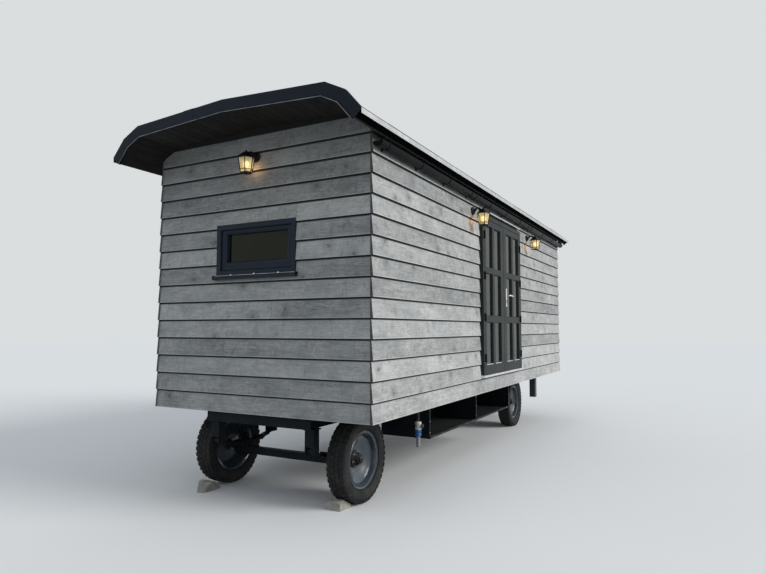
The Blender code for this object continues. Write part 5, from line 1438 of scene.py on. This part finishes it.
def makeInlet():
    # thin pipe down from the floor, then a white stop valve with its knob, a coupling and a ribbed tail
    x, y, up = -2.52, -1.18, (0, 0, 1)
    tail = [(0.013, 0.45), (0.0165, 0.452)]
    for k in range(7):
        z = 0.455 + k * 0.0145
        tail += [(0.0188, z), (0.0198, z + 0.0065), (0.0172, z + 0.008), (0.0172, z + 0.014)]
    valve = [(0.02, 0.612), (0.0285, 0.615), (0.03, 0.62), (0.03, 0.636), (0.0265, 0.64), (0.0265, 0.664),
        (0.03, 0.668), (0.03, 0.684), (0.027, 0.69), (0.0125, 0.692)]
    pipe = [(0.026, 0.7985), (0.028, 0.794), (0.026, 0.788), (0.013, 0.786), (0.0115, 0.7), (0.0115, 0.69)]
    knob = [(0.0, 0.0), (0.014, 0.0), (0.02, 0.002), (0.02, 0.01), (0.017, 0.0135), (0.0, 0.014)]
    coupling = [(0.014, 0.555), (0.027, 0.557), (0.029, 0.562), (0.029, 0.576), (0.0262, 0.58), (0.0262, 0.588),
        (0.029, 0.592), (0.029, 0.604), (0.024, 0.609), (0.018, 0.612)]
    for name, finish, profile, at, axis, sides in (
            ("Pipe", "hub", pipe, (x, y, 0), up, 24),
            ("Valve", "whitePlastic", valve, (x, y, 0), up, 28),
            ("Knob", "hub", knob, (x, y - 0.038, 0.652), (0, -1, 0), 14),
            ("Coupling", "bluePlastic", coupling, (x, y, 0), up, 12),
            ("Tail", "greyPlastic", tail + [(0.018, 0.558)], (x, y, 0), up, 22)):
        bm = bmesh.new()
        addTurned(bm, profile, at, axis, sides)
        if name == "Valve":
            addRod(bm, (x, y, 0.652), (x, y - 0.04, 0.652), 0.0125, 18, 0.001)
        addPiece("inlet" + name, bm, finish, standsFor="water_inlet" if name == "Valve" else (),
            slot="grey_plastic")


leg = {"x": 2.89, "y": 0.9, "half": 0.051, "foot": 0.37}


def makeLegs():
    x, half, top = leg["x"], leg["half"], chassis["top"] - 0.0006
    for name, side, node in hutSides:
        y = side * leg["y"]
        bm = bmesh.new()
        addBox(bm, (x - half, y - half, leg["foot"] + 0.006), (x + half, y + half, top), 0.006)
        addBox(bm, (x - half + 0.002, y - half + 0.002, leg["foot"]),
            (x + half - 0.002, y + half - 0.002, leg["foot"] + 0.0065), 0.0012)
        # weld beads round the foot plate and under the floor
        inset = half - 0.001
        for z in (leg["foot"] + 0.0062, top - 0.003):
            ring = [(x + a * inset, y + b * inset, z) for a, b in ((-1, -1), (1, -1), (1, 1), (-1, 1))]
            for one, two in zip(ring, ring[1:] + ring[:1]):
                addTube(bm, [one, two], 0.0026, 6)
        addPiece("steadyLeg" + name, bm, "legPaint", standsFor="steady_leg_" + node)


stone = {"height": 0.085, "rearHeight": 0.076, "rearSlope": 0.016, "toe": 0.02,
    "DoorSide": (3, 0.012, 0.175, -0.812, -0.636), "Back": (8, 0.052, 0.25, 0.66, 0.82)}


def makeStones():
    # each stone: seed of its breaks, how far off the tread, its length and its two sides
    for name, _, node in hutSides:
        seed, clearance, length, low, high = stone[name]
        dice = random.Random(seed)
        reach = gear["tyre"] + clearance
        toe, crown = (gear["axles"][0][1] - sqrt(reach ** 2 - (gear["centre"] - z) ** 2)
            for z in (stone["toe"], stone["height"]))
        outline = [(toe - length, 0.0), (toe, 0.0), (toe, stone["toe"]), (crown, stone["height"]),
            (toe - length + stone["rearSlope"], stone["rearHeight"])]
        bm = bmesh.new()
        addPrism(bm, outline, "Y", low, high)
        bmesh.ops.triangulate(bm, faces=bm.faces)
        bmesh.ops.subdivide_edges(bm, edges=bm.edges, cuts=5, use_grid_fill=True)
        bmesh.ops.remove_doubles(bm, verts=bm.verts, dist=1e-5)
        centre = Vector((toe - length / 2, (low + high) / 2, stone["height"] / 2))
        offset = Vector((seed * 3.1, seed * 1.7, 0))
        # a few flat breaks, then a rough skin; everything only goes inwards
        breaks = []
        for _ in range(5):
            normal = Vector((dice.uniform(-1, 0.4), dice.uniform(-1, 1), dice.uniform(0.1, 1))).normalized()
            breaks.append((normal, dice.uniform(0.06, 0.082)))
        for vert in bm.verts:
            at = vert.co - centre
            for normal, far in breaks:
                over = at.dot(normal) - far
                if over > 0:
                    at -= normal * over * 0.9
            rough = noise.fractal((vert.co + offset) * 22, 1.0, 2.0, 4) * 0.5 + 0.5
            at *= 1 - 0.055 * max(0.0, rough)
            vert.co = centre + at
            vert.co.z = max(0.0, vert.co.z if vert.co.z > 0.004 else 0.0)
        addPiece("wheelStone" + name, bm, "concrete", standsFor="wheel_block_" + node, sharp=38)


makeChassisDetails()
makeTray()
makeInlet()
makeLegs()
makeStones()
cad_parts["chassis_frame"].data.materials.clear()
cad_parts["chassis_frame"].data.materials.append(finishes["chassis"])
print("underside done")


# Stage, light and camera

stage = {"floor": (0.945, 0.95, 0.955), "bounce": (0.24, 0.25, 0.24), "back": (0.705, 0.728, 0.735),
    "world": (0.895, 0.96, 1.02), "worldLevel": 0.54, "sun": 1.9, "sunSpread": 26, "sunWay": (-0.2, 0.85, -0.4)}
camera = {"at": (-7.701, -3.603, 1.575), "yaw": 28.43, "pitch": 4.02, "focalPixels": 590.9, "frameWidth": 766}


def shownShare(tree):
    # 1 where the camera sees the stage, straight on or in metal and glass
    path = tree.nodes.new("ShaderNodeLightPath")
    share = path.outputs["Is Camera Ray"]
    for other in ("Is Glossy Ray", "Is Transmission Ray"):
        most = tree.nodes.new("ShaderNodeMath")
        most.operation = "MAXIMUM"
        tree.links.new(share, most.inputs[0])
        tree.links.new(path.outputs[other], most.inputs[1])
        share = most.outputs[0]
    return share


def makeStage():
    bm = bmesh.new()
    bm.faces.new([bm.verts.new((x, y, -0.0005)) for x, y in ((-60, -60), (60, -60), (60, 60), (-60, 60))])
    mesh = bpy.data.meshes.new("studioFloor")
    bm.to_mesh(mesh)
    bm.free()
    # pale as it is seen, but it throws back no more light than dry ground
    f = Finish("studioFloor", 0.9)
    pale = f.blend(f.fit(f.clouds(0.6, 3), 0.3, 0.7), stage["floor"], [0.99 * c for c in stage["floor"]])
    f.fill(f.shader, {"Specular IOR Level": 0.0})
    mesh.materials.append(f.done(f.blend(shownShare(f.tree), stage["bounce"], pale)))
    addToScene(bpy.data.objects.new("studioFloor", mesh))


def makeWorld():
    world = bpy.data.worlds.new("studio")
    world.use_nodes = True
    tree = world.node_tree
    light, end = tree.nodes["Background"], tree.nodes["World Output"]
    seen, mix = tree.nodes.new("ShaderNodeBackground"), tree.nodes.new("ShaderNodeMixShader")
    seen.inputs[0].default_value = (*stage["back"], 1)
    light.inputs[0].default_value = (*stage["world"], 1)
    light.inputs[1].default_value = stage["worldLevel"]
    for source, target in ((shownShare(tree), mix.inputs[0]), (light.outputs[0], mix.inputs[1]),
            (seen.outputs[0], mix.inputs[2]), (mix.outputs[0], end.inputs[0])):
        tree.links.new(source, target)
    bpy.context.scene.world = world


def makeSun():
    data = bpy.data.lights.new("softSun", "SUN")
    data.energy, data.angle, data.color = stage["sun"], radians(stage["sunSpread"]), (1.0, 0.985, 0.95)
    lamp = addToScene(bpy.data.objects.new("softSun", data))
    lamp.rotation_mode = "QUATERNION"
    lamp.rotation_quaternion = Vector(stage["sunWay"]).to_track_quat("-Z", "Y")


def makeCamera():
    data = bpy.data.cameras.new("photoView")
    data.sensor_width = 36.0
    data.lens = camera["focalPixels"] / camera["frameWidth"] * data.sensor_width
    data.clip_start, data.clip_end = 0.05, 300.0
    view = addToScene(bpy.data.objects.new("photoView", data))
    view.location = Vector(camera["at"]) + middle
    yaw, pitch = radians(camera["yaw"]), radians(camera["pitch"])
    forward = Vector((cos(pitch) * cos(yaw), cos(pitch) * sin(yaw), sin(pitch)))
    view.rotation_mode = "QUATERNION"
    view.rotation_quaternion = forward.to_track_quat("-Z", "Y")
    bpy.context.scene.camera = view


makeStage()
makeWorld()
makeSun()
makeCamera()
bpy.context.scene.view_settings.view_transform = "Standard"
print("stage set")
